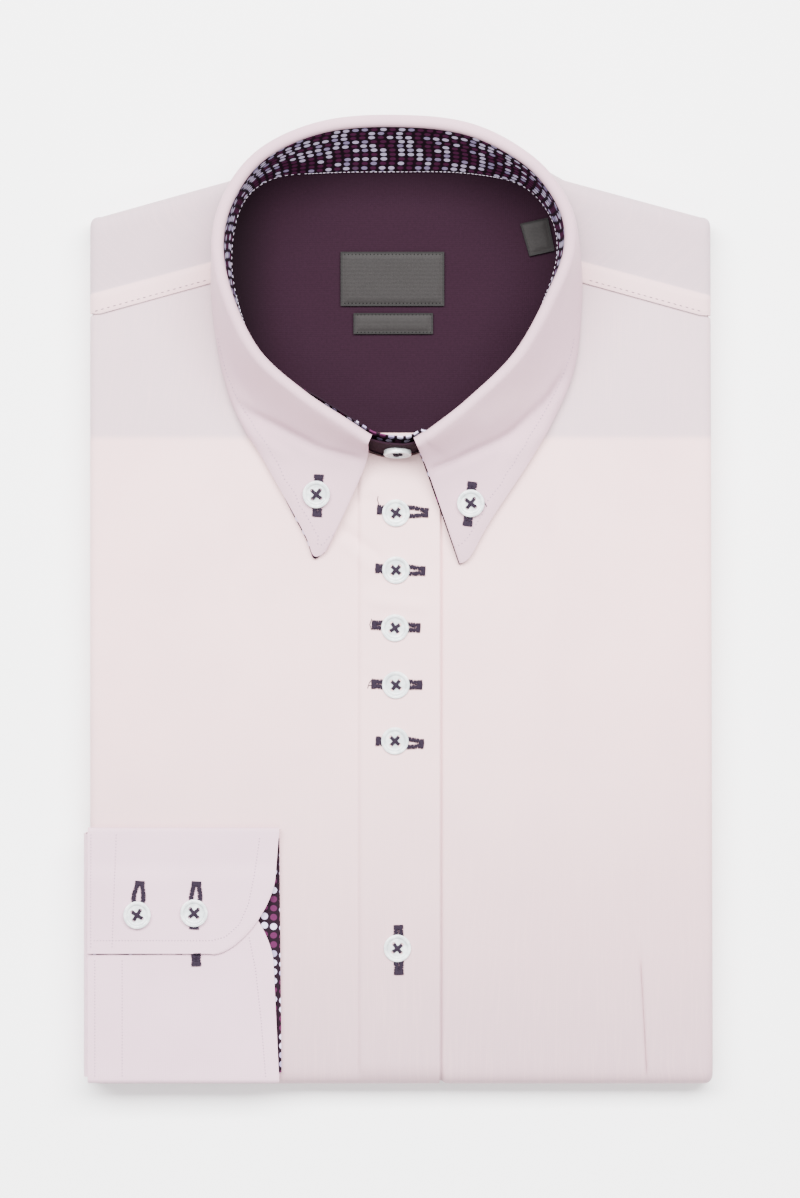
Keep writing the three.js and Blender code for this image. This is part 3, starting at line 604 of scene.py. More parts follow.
def shoulderY(x):
    reach, corner = abs(x), package["collarCornerX"]
    if reach > corner:
        edge = abs(sideX(1 if x > 0 else -1, package["shoulderCorner"]))
        return mix(package["collarCornerY"], package["shoulderCorner"], (reach - corner) / (edge - corner))
    return package["backOfNeckFold"] - (package["backOfNeckFold"] - package["collarCornerY"]) * (reach / corner) ** 3


def seamY(x):
    t = (abs(x) - yokeSeam["innerX"]) / (abs(package["leftSide"]) - yokeSeam["innerX"])
    return mix(yokeSeam["innerY"], yokeSeam["outerY"], t)


def besideNeck(x, margin=0.1):
    return x < neckLeft - margin or x > neckRight + margin


def foldRound(turn, squareness=0.7):
    out = abs(math.sin(turn)) ** squareness
    up = math.copysign(abs(math.cos(turn)) ** squareness, math.cos(turn))
    return out, up


def foldedPanel(flatX, folds, yRows, end, endReach, towards, lift, tuck, turns=10, endTurns=12):
    columns = [(x, 0, 0, 0) for x in flatX]
    parts = [(k + 1) / turns for k in range(turns)]
    for side in folds:
        rolled = [(0, side, part, 0) for part in parts] + [(0, side, 1, (k + 1) / 3) for k in range(3)]
        columns = list(reversed(rolled)) + columns if side < 0 else columns + rolled
    flatCount = len(yRows(flatX[0]))
    rows = [(k, 0.0) for k in range(flatCount)]
    rows += [(flatCount - 1, (k + 1) / endTurns * math.radians(package["endTurn"])) for k in range(endTurns)]
    radiusEnd, radiusSide, layer = package["endRadius"], package["sideRadius"], package["layer"]
    grid = []
    for k, rowTurn in rows:
        line = []
        wrapOut, wrapUp = foldRound(rowTurn)
        for flat, side, part, lipPart in columns:
            rowX = sideX(side, 0) - side * radiusSide if side else flat
            y = yRows(rowX)[k]
            endY = end(rowX) - towards * endReach(rowX)
            x, depth = rowX, 0.0
            rise = lift(x, y, wrapOut)
            if side:
                fromEnd = abs(endY - y)
                shrink = tuck(rowX, y)
                turned = smooth((fromEnd - 0.5) / 7) * (1 - shrink)
                lipShare = smooth((fromEnd - 8) / 10) * (1 - shrink)
                radius = radiusSide - layer * shrink
                lastTurn = mix(math.radians(package["cornerTurn"]), math.radians(package["sideTurn"]), turned)
                out, up = foldRound(part * lastTurn + lipPart * (1 - lipShare) * 0.12)
                x = sideX(side, y) - side * (radiusSide - radius * out + lipPart * lipShare * package["lip"])
                depth = radius * (1 - up)
                rise *= max(0.0, up)
            radius = radiusEnd + rise - depth
            if rowTurn > 0:
                y = endY + towards * endReach(rowX) * (radius / radiusEnd) * wrapOut
            line.append(Vector((x, y, max(0.05, package["frontTop"] - radiusEnd + radius * wrapUp))))
        grid.append(line)
    return grid


def frontRows(x, step=3.0):
    nearest = min(max(x, neckLeft + 0.2), neckRight - 0.2)
    start = seamY(x) + package["yokeLap"] if besideNeck(x, 0.5) else min(neckY(nearest, False), seamY(x) - 1)
    seam = start - package["yokeLap"] - package["gap"]
    endY = package["bottomFold"] + package["endRadius"]
    count = 110
    return [start, seam] + [mix(seam - package["layer"], endY + 3, k / count) for k in range(count)] + [
        endY + 3, endY + 1.5, endY]


def frontTuck(x, y):
    return 1 - smooth((seamY(x) - package["gap"] - y) / package["layer"])


# soft creases, listed: line from a to b in millimetres, height (+) or depth (-), half width
creaseTable = [
    # name, ax, ay, bx, by, height, width
    ("leftNeckPull", -18.0, 42.4, -8.0, 41.6, -0.8, 1.6),
    ("leftNeckFan", -23.0, 30.3, -8.4, 19.8, -1.1, 2.0),
    ("leftNeckRidge", -22.0, 25.0, -9.5, 13.5, 0.7, 2.4),
    ("secondButtonPull", -15.0, 6.0, -6.0, 10.0, -0.3, 2.4),
    ("thirdButtonRipple", -10.0, 0.6, 10.0, -1.8, 0.8, 1.9),
    ("thirdButtonTrough", -10.0, -3.2, -5.5, -5.6, -0.3, 2.0),
    ("fourthButtonPull", -15.0, -30.5, -7.0, -32.6, -0.3, 2.6),
    ("placketLow", -15.4, -96.0, -14.2, -180.0, -0.16, 3.6),
    ("leftBodyWave", -92.0, -20.0, -52.0, 8.0, 0.22, 16.0),
    ("leftBodyTrough", -104.0, -58.0, -60.0, -38.0, -0.22, 14.0),
    ("rightBodyWave", 44.0, -34.0, 86.0, -10.0, 0.26, 15.0),
    ("rightBodyTrough", 36.0, -78.0, 96.0, -62.0, -0.24, 16.0),
    ("rightHemWave", 30.0, -150.0, 74.0, -168.0, 0.2, 12.0),
    ("leftChestSlack", -88.0, 60.0, -70.0, 88.0, -0.2, 9.0),
    ("rightChestSlack", 80.0, 64.0, 70.0, 92.0, -0.22, 9.0),
]


def foldSum(table, x, y, past, ramp, reach):           # height of creases that fade past their ends
    total = 0.0
    for ax, ay, bx, by, height, width in (row[-6:] for row in table):
        dx, dy = bx - ax, by - ay
        length = math.hypot(dx, dy)
        along = ((x - ax) * dx + (y - ay) * dy) / (length * length)
        across = ((x - ax) * dy - (y - ay) * dx) / length
        if -past < along < 1 + past and abs(across) < reach * width:
            fade = smooth((along + past) / ramp) * smooth((1 + past - along) / ramp)
            total += height * fade * math.exp(-(across / width) ** 2)
    return total


def clothRelief(x, y):
    calm = smooth((y - package["bottomFold"] - 8) / 14)
    inside = smooth((124 - abs(x)) / 8)
    folds = foldSum(creaseTable, x, y, 0.3, 0.4, 2.6)
    waves = 0.16 * ripple(x, y, 58, 1.3) + 0.05 * ripple(x, y, 17, 4.2)
    return (folds + waves) * calm * inside


# the two fronts
def makeFronts():
    layer = package["layer"]

    def rise(x):
        return layer * smooth((x - placket["inside"]) / placket["ramp"] + 0.5)

    leftX = (spread(package["leftSide"] + package["sideRadius"], -80, 3.2) + spread(-78, neckLeft - 1.2, 2.6)
             + [neckLeft - 0.75, neckLeft - 0.35] + spread(neckLeft + 0.6, -18, 1.9)
             + spread(-17, -13.4, 0.6) + spread(-12.2, placket["edge"], 1.8))
    left = foldedPanel(leftX, (-1,), frontRows, lambda x: package["bottomFold"], lambda x: package["endRadius"],
                       -1, lambda x, y, out: rise(x) * (1 - smooth(out * 1.2)) + clothRelief(x, y) * (1 - out),
                       frontTuck)
    frontLeft = clothPiece("frontLeftCloth", left, 0.6, "front", ["front_left"],
                           uv=lengthsAlong(left, 3))

    def sink(x):
        return smooth((placket["edge"] + 3.2 - x) / 2.6)

    def pressed(x, y):
        lineX = dart["x"] + dart["slant"] * (dart["start"] - y)
        across = max(0.0, 1 - abs(x - lineX) / dart["width"])
        return dart["height"] * smooth(across) * smooth((dart["start"] + 8 - y) / dart["fade"])

    rightX = (spread(placket["underEdge"], 15, 2.2) + spread(16.2, 20, 0.5) + spread(21.5, neckRight - 0.6, 1.9)
              + [neckRight + 0.35, neckRight + 0.75] + spread(neckRight + 1.6, 96, 2.4)
              + spread(96.8, 107, 0.5) + spread(108, package["rightSideTop"] - package["sideRadius"], 2.4))

    def rightLift(x, y, out):
        groove = (x - placket["edge"] - placket["grooveAway"]) / placket["grooveWidth"]
        return ((pressed(x, y) + clothRelief(x, y)) * (1 - smooth(out)) * smooth((x - 18) / 6)
                - layer * smooth(out * 1.2) * sink(x)
                - placket["grooveDepth"] * math.exp(-groove ** 2) * (1 - smooth(out)))

    right = foldedPanel(rightX, (1,), frontRows, lambda x: package["bottomFold"], lambda x: package["endRadius"],
                        -1, rightLift, frontTuck)
    frontRight = clothPiece("frontRightCloth", right, 0.6, "front", ["front_right"],
                            uv=lengthsAlong(right, 3))
    return frontLeft, frontRight


def makeYoke():
    layer, gap, lap = package["layer"], package["gap"], package["yokeLap"]

    def reach(x):
        return package["endRadius"] if besideNeck(x) else min(
            package["endRadius"], shoulderY(x) - neckY(x, True) - 2 * gap)

    lapEnd = lap + 2 * gap

    def lift(x, y, out):
        if not besideNeck(x):
            return 0.0
        edge = 0.34 * math.exp(-((y - seamY(x) - 4.6) / 2.6) ** 2)
        return layer * (1 - smooth((y - seamY(x) - lapEnd) / 2.4)) * (1 - 0.25 * (1 - smooth(
            (y - seamY(x)) / 1.2))) + edge * 0.4

    def yRows(x):
        endY = shoulderY(x) - reach(x)
        if not besideNeck(x):
            return [mix(neckY(x, True), endY, k / 23) for k in range(24)]
        seam = seamY(x)
        first = [seam + t * lapEnd for t in (0, 0.08, 0.18, 0.32, 0.5, 0.7, 0.88, 1)]
        ramp = [seam + lapEnd + 0.8 * k for k in (1, 2, 3)]
        last = ramp[-1]
        return first + ramp + [mix(last, endY, k / 13) for k in range(1, 14)]

    flatX = (spread(package["leftSide"] + package["sideRadius"], neckLeft - 1.4, 2.2)
             + [neckLeft - 0.2, neckLeft + 0.2]
             + spread(neckLeft + 1.2, neckRight - 1.2, 2.2) + [neckRight - 0.2, neckRight + 0.2]
             + spread(neckRight + 1.4, package["rightSideTop"] - package["sideRadius"], 2.2))
    grid = foldedPanel(flatX, (-1, 1), yRows, shoulderY, reach, 1, lift, lambda x, y: 0.0)
    return clothPiece("outerYokeCloth", grid, -0.6, "yoke", ["outer_yoke"],
                      uv=lengthsAlong(grid, 0))


# inner yoke and the folded stack
def makeInnerYoke():
    inset, edge = 6.0, 70.0
    left, right = package["leftSide"] + inset, package["rightSideTop"] - inset
    grid = []
    for x in spread(left, right, 2.6):
        top = shoulderY(x) - package["endRadius"]
        line = []
        for k in range(44):
            y = mix(edge, top, k / 43)
            wave = 0.22 * ripple(x, y, 26, 9.1) + 0.12 * ripple(x, y, 9, 2.2)
            line.append(Vector((x, y, package["innerYokeTop"] - 0.25 + wave * smooth((62 - abs(x)) / 10))))
        grid.append(line)
    uv = [[(p.x, p.y) for p in row] for row in grid]
    clothPiece("innerYokeCloth", grid, -0.6, "lining", ["inner_yoke"],
               uv=uv)


stackLayers = {
    # each roll: base, top, inset from the sides, folds that show at its edge, how far a fold swells
    "lower": (0.0, 7.0, 0.5, 5, 0.55), "upper": (8.6, 12.5, 9.5, 3, 0.4),
}


def stackOutline(sideInset, endInset, corner):
    left = package["leftSide"] + sideInset
    rightTop, rightLow = package["rightSideTop"] - sideInset, package["rightSideBottom"] - sideInset
    bottom = package["bottomFold"] + endInset
    points = []

    def cornerRound(spot, before, after, steps=8):
        for k in range(steps + 1):
            t = k / steps
            points.append(before * (1 - t) ** 2 + spot * 2 * t * (1 - t) + after * t * t)

    def topY(x):
        return shoulderY(x) - endInset

    cornerRound(Vector((left, bottom, 0)), Vector((left, bottom + 2.5 * corner, 0)),
                Vector((left + corner, bottom, 0)))
    points.extend(Vector((x, bottom, 0)) for x in spread(left + corner + 3, rightLow - corner - 3, 4))
    cornerRound(Vector((rightLow, bottom, 0)), Vector((rightLow - corner, bottom, 0)),
                Vector((rightLow, bottom + 2.5 * corner, 0)))
    lowY, highY = bottom + 2.5 * corner + 3, topY(rightTop) - 2.5 * corner - 3
    points.extend(Vector((mix(rightLow, rightTop, (y - lowY) / (highY - lowY)), y, 0))
                  for y in spread(lowY, highY, 4))
    cornerRound(Vector((rightTop, topY(rightTop), 0)), Vector((rightTop, topY(rightTop) - 2.5 * corner, 0)),
                Vector((rightTop - corner, topY(rightTop - corner), 0)))
    points.extend(Vector((x, topY(x), 0)) for x in spread(rightTop - corner - 3, left + corner + 3, 4))
    cornerRound(Vector((left, topY(left), 0)), Vector((left + corner, topY(left + corner), 0)),
                Vector((left, topY(left) - 2.5 * corner, 0)))
    points.extend(Vector((left, y, 0)) for y in spread(topY(left) - 2.5 * corner - 3, bottom + 2.5 * corner + 3, 4))
    return points


def rollGrid(base, top, sideInset, folds, swell, seed):
    outline = stackOutline(sideInset, 5.8, 6.0)
    count = len(outline)
    outwards = []
    for k, p in enumerate(outline):
        way = outline[(k + 1) % count] - outline[k - 1]
        outwards.append(Vector((way.y, -way.x, 0)).normalized())
    height = top - base
    profile = [(60.0, base), (36.0, base), (20.0, base), (10.0, base), (5.0, base), (3.4, base)]
    rings = [[(p - outwards[k] * inset) + Vector((0, 0, z)) for k, p in enumerate(outline)] for inset, z in profile]
    steps = 7
    for fold in range(folds):
        for s in range(steps):
            t = (s + 0.5) / steps
            z = base + height * (fold + t) / folds
            ends = smooth(min(z - base, top - z) / (height * 0.36))
            ringPoints = []
            for k, p in enumerate(outline):
                uneven = 0.55 * noise.noise(Vector((p.x / 34, p.y / 34, seed + fold * 3.1)))
                bulge = swell * math.sin(math.pi * t) ** 0.7
                inset = 2.8 * (1 - ends) ** 1.6 + 0.85 - bulge + max(0.0, uneven) * 0.9
                ringPoints.append(p - outwards[k] * inset + Vector((0, 0, z)))
            rings.append(ringPoints)
    rings.extend([(p - outwards[k] * inset) + Vector((0, 0, top)) for k, p in enumerate(outline)]
                 for inset in (3.4, 5.0, 10.0, 20.0, 36.0, 60.0))
    return rings


def closedRoll(name, rings, finish):
    mesh = bpy.data.meshes.new(name)
    shape = bmesh.new()
    rows = [[shape.verts.new(p * mm) for p in ringPoints] for ringPoints in rings]
    count = len(rows[0])
    for low, high in zip(rows, rows[1:]):
        for k in range(count):
            shape.faces.new((low[k], low[(k + 1) % count], high[(k + 1) % count], high[k]))
    for ringPoints, turned in ((rows[0], True), (rows[-1], False)):
        shape.faces.new(list(reversed(ringPoints)) if turned else ringPoints)
    bmesh.ops.triangulate(shape, faces=[f for f in shape.faces if len(f.verts) > 4])
    bmesh.ops.recalc_face_normals(shape, faces=shape.faces)
    layer = shape.loops.layers.uv.new("cloth")
    for face in shape.faces:
        for loop in face.loops:
            spot = loop.vert.co / mm
            loop[layer].uv = (spot.x + spot.z, spot.y + spot.z)
    shape.to_mesh(mesh)
    shape.free()
    mesh.materials.append(finishes[finish])
    piece = placed(name, mesh)
    smoothShade(piece, 60)
    return piece


def makeStack():
    parts = []
    for seed, (name, (base, top, inset, folds, swell)) in enumerate(stackLayers.items()):
        parts.append(closedRoll(name + "Roll", rollGrid(base, top, inset, folds, swell, seed * 11.0), "back"))
    core = []
    for z in (6.6, 7.2, 8.0, 8.8):
        core.append([p + Vector((0, 0, z)) for p in stackOutline(16, 16, 2)])
    parts.append(closedRoll("coreLayers", core, "back"))
    panel = []
    left, right = package["leftSide"] + package["sideRadius"], package["rightSideTop"] - package["sideRadius"]
    for z in (12.3, 12.9, 13.5):
        panel.append([Vector((x, y, z)) for x, y in (
            [(x, package["bottomFold"] + package["endRadius"]) for x in spread(left, right, 6)]
            + [(right, y) for y in spread(-184, 66, 6)] + [(x, 69.7) for x in spread(right, left, 6)]
            + [(left, y) for y in spread(66, -184, 6)])])
    parts.append(closedRoll("backLayer", panel, "back"))
    selectOnly(parts[0])
    for part in parts:
        part.select_set(True)
    bpy.ops.object.join()
    stack = parts[0]
    stack.name = "foldedBackCloth"
    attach(stack, "root")
    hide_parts("folded_back")
    return stack


# collar
def legPoint(points, t):                               # centripetal curve through four points
    start = points[0] * 2 - points[1]
    finish = points[3] * 2 - points[2]
    p = 3 * t
    k = min(2, int(p))
    w = p - k
    chain = [start, *points, finish][k:k + 4]
    gaps = [max(1e-4, (b - a).length_squared ** 0.25) for a, b in zip(chain, chain[1:])]
    result = []
    for axis in range(3):
        a, b, c, d = (q[axis] for q in chain)
        m1 = ((b - a) / gaps[0] - (c - a) / (gaps[0] + gaps[1]) + (c - b) / gaps[1]) * gaps[1]
        m2 = ((c - b) / gaps[1] - (d - b) / (gaps[1] + gaps[2]) + (d - c) / gaps[2]) * gaps[1]
        result.append(b + w * (m1 + w * (-3 * b + 3 * c - 2 * m1 - m2 + w * (2 * b - 2 * c + m1 + m2))))
    return Vector(result)


def leafGrid():
    rows = smoothRows(collarTable, ringSteps, False)
    grid = []
    for k, values in enumerate(rows):
        bend, edge = Vector(values[3:6]), Vector(values[6:9])
        top, topOut, crest = ring[k]["top"], ring[k]["topOut"], ring[k]["crest"]
        middle = top + topOut * foldRadius
        reach = max(0.4, math.hypot(bend.x - middle.x, bend.y - middle.y) - foldRadius / 2)
        lastTurn = math.pi / 2 + 0.9 * math.atan2(crest - bend.z, reach)

        def arch(turn):
            spot = top + topOut * foldRadius * (1 - math.cos(turn))
            return Vector((spot.x, spot.y, crest - foldRadius + foldRadius * math.sin(turn)))

        points = [Vector((top.x, top.y, crest - foldRadius - 0.8))]
        points += [arch(s * math.pi / 16) for s in range(9)]
        points += [arch(mix(math.pi / 2, lastTurn, s / 6)) for s in range(1, 7)]
        before = arch(mix(math.pi / 2, lastTurn, 2 / 3))
        leg = [before, points[-1], bend, edge]
        points += [legPoint(leg, mix(1 / 3, 1, s / 34)) for s in range(1, 35)]
        grid.append(points)
    return grid


leaf = leafGrid()
leafCrest = 9                                          # the leaf's column at the top of its roll
leafFlatTop = 36.0                                     # only the lower leaf carries the creases


leafCreases = [
    # ax, ay, bx, by, height, width: folds on the leaf, listed
    (-66.0, 80.5, -55.0, 74.0, -1.5, 1.7), (-56.0, 75.0, -33.0, 63.0, -1.6, 1.9),
    (-33.0, 63.0, -15.5, 58.4, -1.0, 1.6), (-62.0, 70.5, -45.0, 60.0, 0.8, 3.0),
    (68.0, 92.0, 61.0, 81.0, -1.5, 1.9), (61.5, 82.0, 45.0, 67.0, -1.8, 2.1), (46.0, 68.0, 27.0, 59.2, -1.5, 1.9),
    (28.0, 59.4, 14.5, 54.2, -1.0, 1.6), (62.0, 72.0, 44.0, 58.0, 0.8, 3.2), (33.0, 70.0, 50.0, 82.0, 0.6, 4.5),
]


def leafRelief(r, c):
    p = leaf[r][c]
    toEdge = (len(leaf[r]) - 1 - c) / 34
    ends = min(r, len(leaf) - 1 - r) / 8
    out = smooth((c - leafCrest - 5) / 6)
    pucker = 0.10 * ripple(p.x, p.y, 5.5, 3.0) * smooth(1 - toEdge * 3.2)
    soft = 0.35 * ripple(p.x, p.y, 26, 6.6) * smooth(toEdge * 6) * smooth(ends * 3)
    rolledEdge = -0.55 * max(0.0, 1 - toEdge * 9) ** 2 - 0.55 * max(0.0, 1 - ends * 4) ** 2
    folds = foldSum(leafCreases, p.x, p.y, 0.15, 0.3, 3) if p.z < leafFlatTop else 0.0
    return (pucker + soft + folds + rolledEdge) * out


def makeCollar():
    towards = 1 if normalsOf(leaf)[60][30].z > 0 else -1
    top = moved(leaf, lambda r, c: towards * leafRelief(r, c))
    leafPiece = clothPiece("collarLeafCloth", top, 0.75 * towards, "collar", ["collar_leaf"])
    lining = [row[leafCrest:] for row in moved(top, -towards * 0.95)]
    for row in lining:                                 # the print shows a little past the leaf's edge
        way = (row[-1] - row[-2]) * Vector((1, 1, 0))
        row[-1] = row[-1] + way.normalized() * (0.3 + 0.85 * smooth((46 - row[-1].y) / 6) * (row[-1].x < 0))
    last = len(lining) - 1
    for c in range(10, len(lining[0])):
        way = (lining[last][c] - lining[last - 1][c]) * Vector((1, 1, 0))
        lining[last][c] = lining[last][c] + way.normalized() * 1.1 * smooth((c - 10) / 6)
    clothPiece("underCollarCloth", lining, 0.6 * towards, "print", ["under_collar"])
    return leafPiece


def standGrid(distance, topDrop, peek=0.0, levels=14):
    grid = []
    for number, section in enumerate(ring):
        line = []
        turned = max(smooth((27 - number) / 6), smooth((number - 145) / 6))
        for k in range(levels + 1):
            level = k / levels
            foot = section["foot"] + section["footOut"] * distance
            topSpot = section["top"] + section["topOut"] * (distance - peek * turned)
            spot = foot.lerp(topSpot, level) + section["footOut"] * 0.6 * math.sin(math.pi * level)
            high = section["crest"] - foldRadius - 0.8 - topDrop
            line.append(Vector((spot.x, spot.y, mix(package["innerYokeTop"] + package["gap"], high, level))))
        grid.append(line)
    return grid


def makeStand():
    inner = standGrid(0.1, package["gap"], peek=1.7)
    middle = Vector((0, 140, 30))
    inwards = 1 if normalsOf(inner, True)[10][5].dot(middle - inner[10][5]) > 0 else -1
    clothPiece("standFacingCloth", inner, 0.7 * inwards, "print", ["stand_facing"],
               ringRows=True)
    outer = standGrid(2.2, 0.0)
    clothPiece("collarStandCloth", outer, -0.7 * inwards, "lining", ["collar_stand"],
               ringRows=True)


# sleeve end and cuff
cuff = {
    "seamX": -126.9, "mouthX": -48.6, "mouthSlant": 0.9, "topFold": -92.0, "bottomFold": -196.8,
    "upperEdge": -143.6, "lowerEdge": -115.8, "cornerX": 22.1, "cornerY": 30.8, "cornerPower": 1.6,
    "leafSlant": 3.9, "stripSpan": (0.03, 0.74), "stripPast": 0.45, "stripUnder": 0.75,
}
sleeve = {"inX": -119.0, "sideX": -129.0, "top": -94.6, "bottom": -194.2, "radius": 2.6, "foot": 0.5}


def mouthAt(distance, length):
    within = min(1.0, distance / cuff["cornerY"])
    rounded = (1 - (1 - within) ** cuff["cornerPower"]) ** (1 / cuff["cornerPower"])
    return cuff["mouthX"] - cuff["leafSlant"] * (1 - distance / length) - cuff["cornerX"] * (1 - rounded)


def cuffPath():
    layer = package["layer"]
    far = package["frontTop"] + package["gap"] + 0.5
    lower = far + 2 * layer
    upper = lower + layer
    radius = (lower - far) / 2
    path = []
    upperLength = cuff["topFold"] - cuff["upperEdge"]
    lowerLength = cuff["lowerEdge"] - cuff["bottomFold"]
    for k in range(40):
        s = (k / 40) ** 1.6 * 0.93
        y = cuff["upperEdge"] + s * upperLength
        settle = smooth((y - cuff["lowerEdge"] - 1.5) / 8)
        path.append((y, upper - layer * settle, mouthAt(s * upperLength, upperLength)))

    def turn(centre, side):
        for s in range(11):
            angle = math.pi * s / 10
            up = math.cos(angle) * (1 if side > 0 else -1)
            path.append((centre + side * radius * math.sin(angle), far + radius + radius * up, cuff["mouthX"]))

    turn(cuff["topFold"] - radius - 0.5, 1)
    for k in range(1, 30):
        s = k / 30
        y = mix(cuff["topFold"] - 2, cuff["bottomFold"] + 2, s)
        path.append((y, far, cuff["mouthX"] + cuff["mouthSlant"] * s))
    turn(cuff["bottomFold"] + radius + 0.5, -1)
    for k in range(40):
        s = (1 - k / 39) ** 1.6 * 0.95
        path.append((cuff["lowerEdge"] - s * lowerLength, lower, mouthAt(s * lowerLength, lowerLength)))
    return path


def makeCuff():
    path = cuffPath()
    shares = spread(0, 0.86, 0.022) + [0.88, 0.9, 0.92, 0.94, 0.955, 0.97, 0.98, 0.99, 1.0]
    grid = []
    for row, (y, z, mouth) in enumerate(path):
        line = []
        for s in shares:
            x = mix(cuff["seamX"], mouth, s)
            top = 1 if row < 40 else 0
            edge = -0.3 * max(0.0, 1 - (mouth - x) / 1.6) ** 2
            edge -= 0.3 * max(0.0, 1 - (x - cuff["seamX"]) / 1.4) ** 2
            soft = 0.22 * ripple(x, y, 21, 8.0 + top) + 0.07 * ripple(x, y, 6, 1.0)
            free = smooth(min(y - cuff["bottomFold"], cuff["topFold"] - y) / 6)
            line.append(Vector((x, y, z + (soft * free + edge if z > 17 else 0))))
        grid.append(line)
    towards = 1 if normalsOf(grid)[10][10].z > 0 else -1
    top = moved(grid, towards * 0.45)
    cuffPieceMade = clothPiece("cuffCloth", top, 0.9 * towards, "cuff", ["cuff"])
    strip = []                                         # the print shows under the upper leaf's edge
    for s in spread(*cuff["stripSpan"], 0.01):
        x = mix(cuff["seamX"], path[0][2], s)
        past = cuff["stripPast"] + 0.2 * ripple(x, 0.0, 6, 4.0)
        strip.append([Vector((x, cuff["upperEdge"] + d, path[0][1] - cuff["stripUnder"]))
                      for d in (3.0, 1.2, 0.2, -past)])
    stripUp = 1 if normalsOf(strip)[5][1].z > 0 else -1
    clothPiece("cuffEdgeCloth", strip, 0.25 * stripUp, "print", [], declare=False)
    facing = []
    base = package["frontTop"] + package["gap"] + package["layer"] + 0.8
    for y in spread(-192.4, -96.4, 2.0):
        t = (y + 96.4) / -96.0
        facing.append([Vector((x, y, base + 0.12 * ripple(x, y, 12, 3)))
                       for x in spread(-84, cuff["mouthX"] + cuff["mouthSlant"] * t + 0.15, 1.4)])
    width = min(len(row) for row in facing)
    facing = [row[:width - 1] + [row[-1]] for row in facing]
    up = 1 if normalsOf(facing)[5][5].z > 0 else -1
    uv = [[(p.x + 0.6, p.y) for p in row] for row in facing]
    clothPiece("cuffFacingCloth", facing, 0.5 * up, "print", ["cuff_facing"],
               uv=uv)
    return cuffPieceMade


def makeSleeve():
    layer = package["layer"]
    high = package["frontTop"] + 2 * layer
    outX, radius, foot = sleeve["sideX"], sleeve["radius"], sleeve["foot"]
    profile = [(x, high) for x in spread(sleeve["inX"], outX + radius + 0.4, 0.8)]
    profile += [(outX + radius - radius * math.sin(a), high - radius * (1 - math.cos(a)))
                for a in (math.radians(d) for d in range(0, 91, 10))]
    profile += [(outX, z) for z in spread(high - radius - 0.8, foot + radius + 0.6, 1.0)]
    profile += [(outX + radius * (1 - math.cos(a)), foot + radius * (1 - math.sin(a)))
                for a in (math.radians(d) for d in range(0, 86, 12))]
    grid = []
    for y in spread(sleeve["top"], sleeve["bottom"], 0.9):
        line = []
        for x, z in profile:
            pull = smooth((z - 9) / 8)
            tuckWave = 0.34 * ripple(y, x * 0.4, 3.1, 5.5) * pull * smooth((-122.5 - x) / 3)
            side = 0.28 * ripple(y, z * 2.2, 15, 2.5) * (1 - pull)
            line.append(Vector((x + 0.35 + side * 0.8 - 0.3 * abs(tuckWave), y, z + tuckWave)))
        grid.append(line)
    outward = 1 if normalsOf(grid)[20][3].z > 0 else -1
    clothPiece("sleeveEndCloth", grid, 0.6 * outward, "cuff", ["sleeve_end"])


# labels
labelTable = [
    # name, node, four corners in millimetres
    ("mainLabelSatin", "main_label", ((-23.4, 121.8), (19.1, 121.8), (19.1, 144.0), (-23.4, 144.0))),
    ("smallLabelSatin", "small_label", ((-18.1, 110.3), (14.5, 110.3), (14.5, 118.9), (-18.1, 118.9))),
    ("sizeTabSatin", "size_tab", ((54.1, 142.2), (64.4, 144.5), (61.6, 158.0), (50.2, 155.5))),
]


def makeLabels():
    made = []
    for number, (name, node, corners) in enumerate(labelTable):
        a, b, c, d = (Vector((*corner, 14.15)) for corner in corners)
        across = max(6, round((b - a).length / 0.8))
        down = max(6, round((d - a).length / 0.8))
        grid = []
        for r in range(down + 1):
            line = []
            for k in range(across + 1):
                s, t = k / across, r / down
                p = a.lerp(b, s).lerp(d.lerp(c, s), t)
                rim = min(s * (b - a).length, (1 - s) * (b - a).length, t * (d - a).length, (1 - t) * (d - a).length)
                lift = 0.55 + 0.22 * smooth(rim / 3.0) - 0.2 * math.exp(-((rim - 1.1) / 0.45) ** 2)
                lift += 0.10 * ripple(p.x, p.y, 9, number)
                line.append(p + Vector((0, 0, lift)))
            grid.append(line)
        piece = clothPiece(name, grid, 0.45, "satin", [node], declare=False,
                           extraSlots=("satinEdge",))
        for polygon in piece.data.polygons:            # the folded rim takes the darker edge finish
            x, y = polygon.center.x / mm, polygon.center.y / mm
            sides = []
            loop = [Vector((*corner, 0)) for corner in corners]
            for p, q in zip(loop, loop[1:] + loop[:1]):
                along = (q - p).normalized()
                sides.append(abs((x - p.x) * along.y - (y - p.y) * along.x))
            if min(sides) < 0.85:
                polygon.material_index = 1
        made.append(piece)
    return made


# buttons
button = {
    "radius": 5.65, "thick": 2.5, "rim": 1.25, "well": 0.7, "edgeRound": 0.45, "sides": 40,
    "holeRadius": 0.85, "holeSpread": 1.6, "threadRadius": 0.27, "strands": 4,
}


def pickFaces(piece, wanted):
    bpy.ops.object.mode_set(mode="OBJECT")
    for polygon in piece.data.polygons:
        polygon.select = wanted(polygon)
    for edge in piece.data.edges:
        edge.select = False
    for vertex in piece.data.vertices:
        vertex.select = False
    for polygon in piece.data.polygons:
        if polygon.select:
            for v in polygon.vertices:
                piece.data.vertices[v].select = True
    bpy.ops.object.mode_set(mode="EDIT")


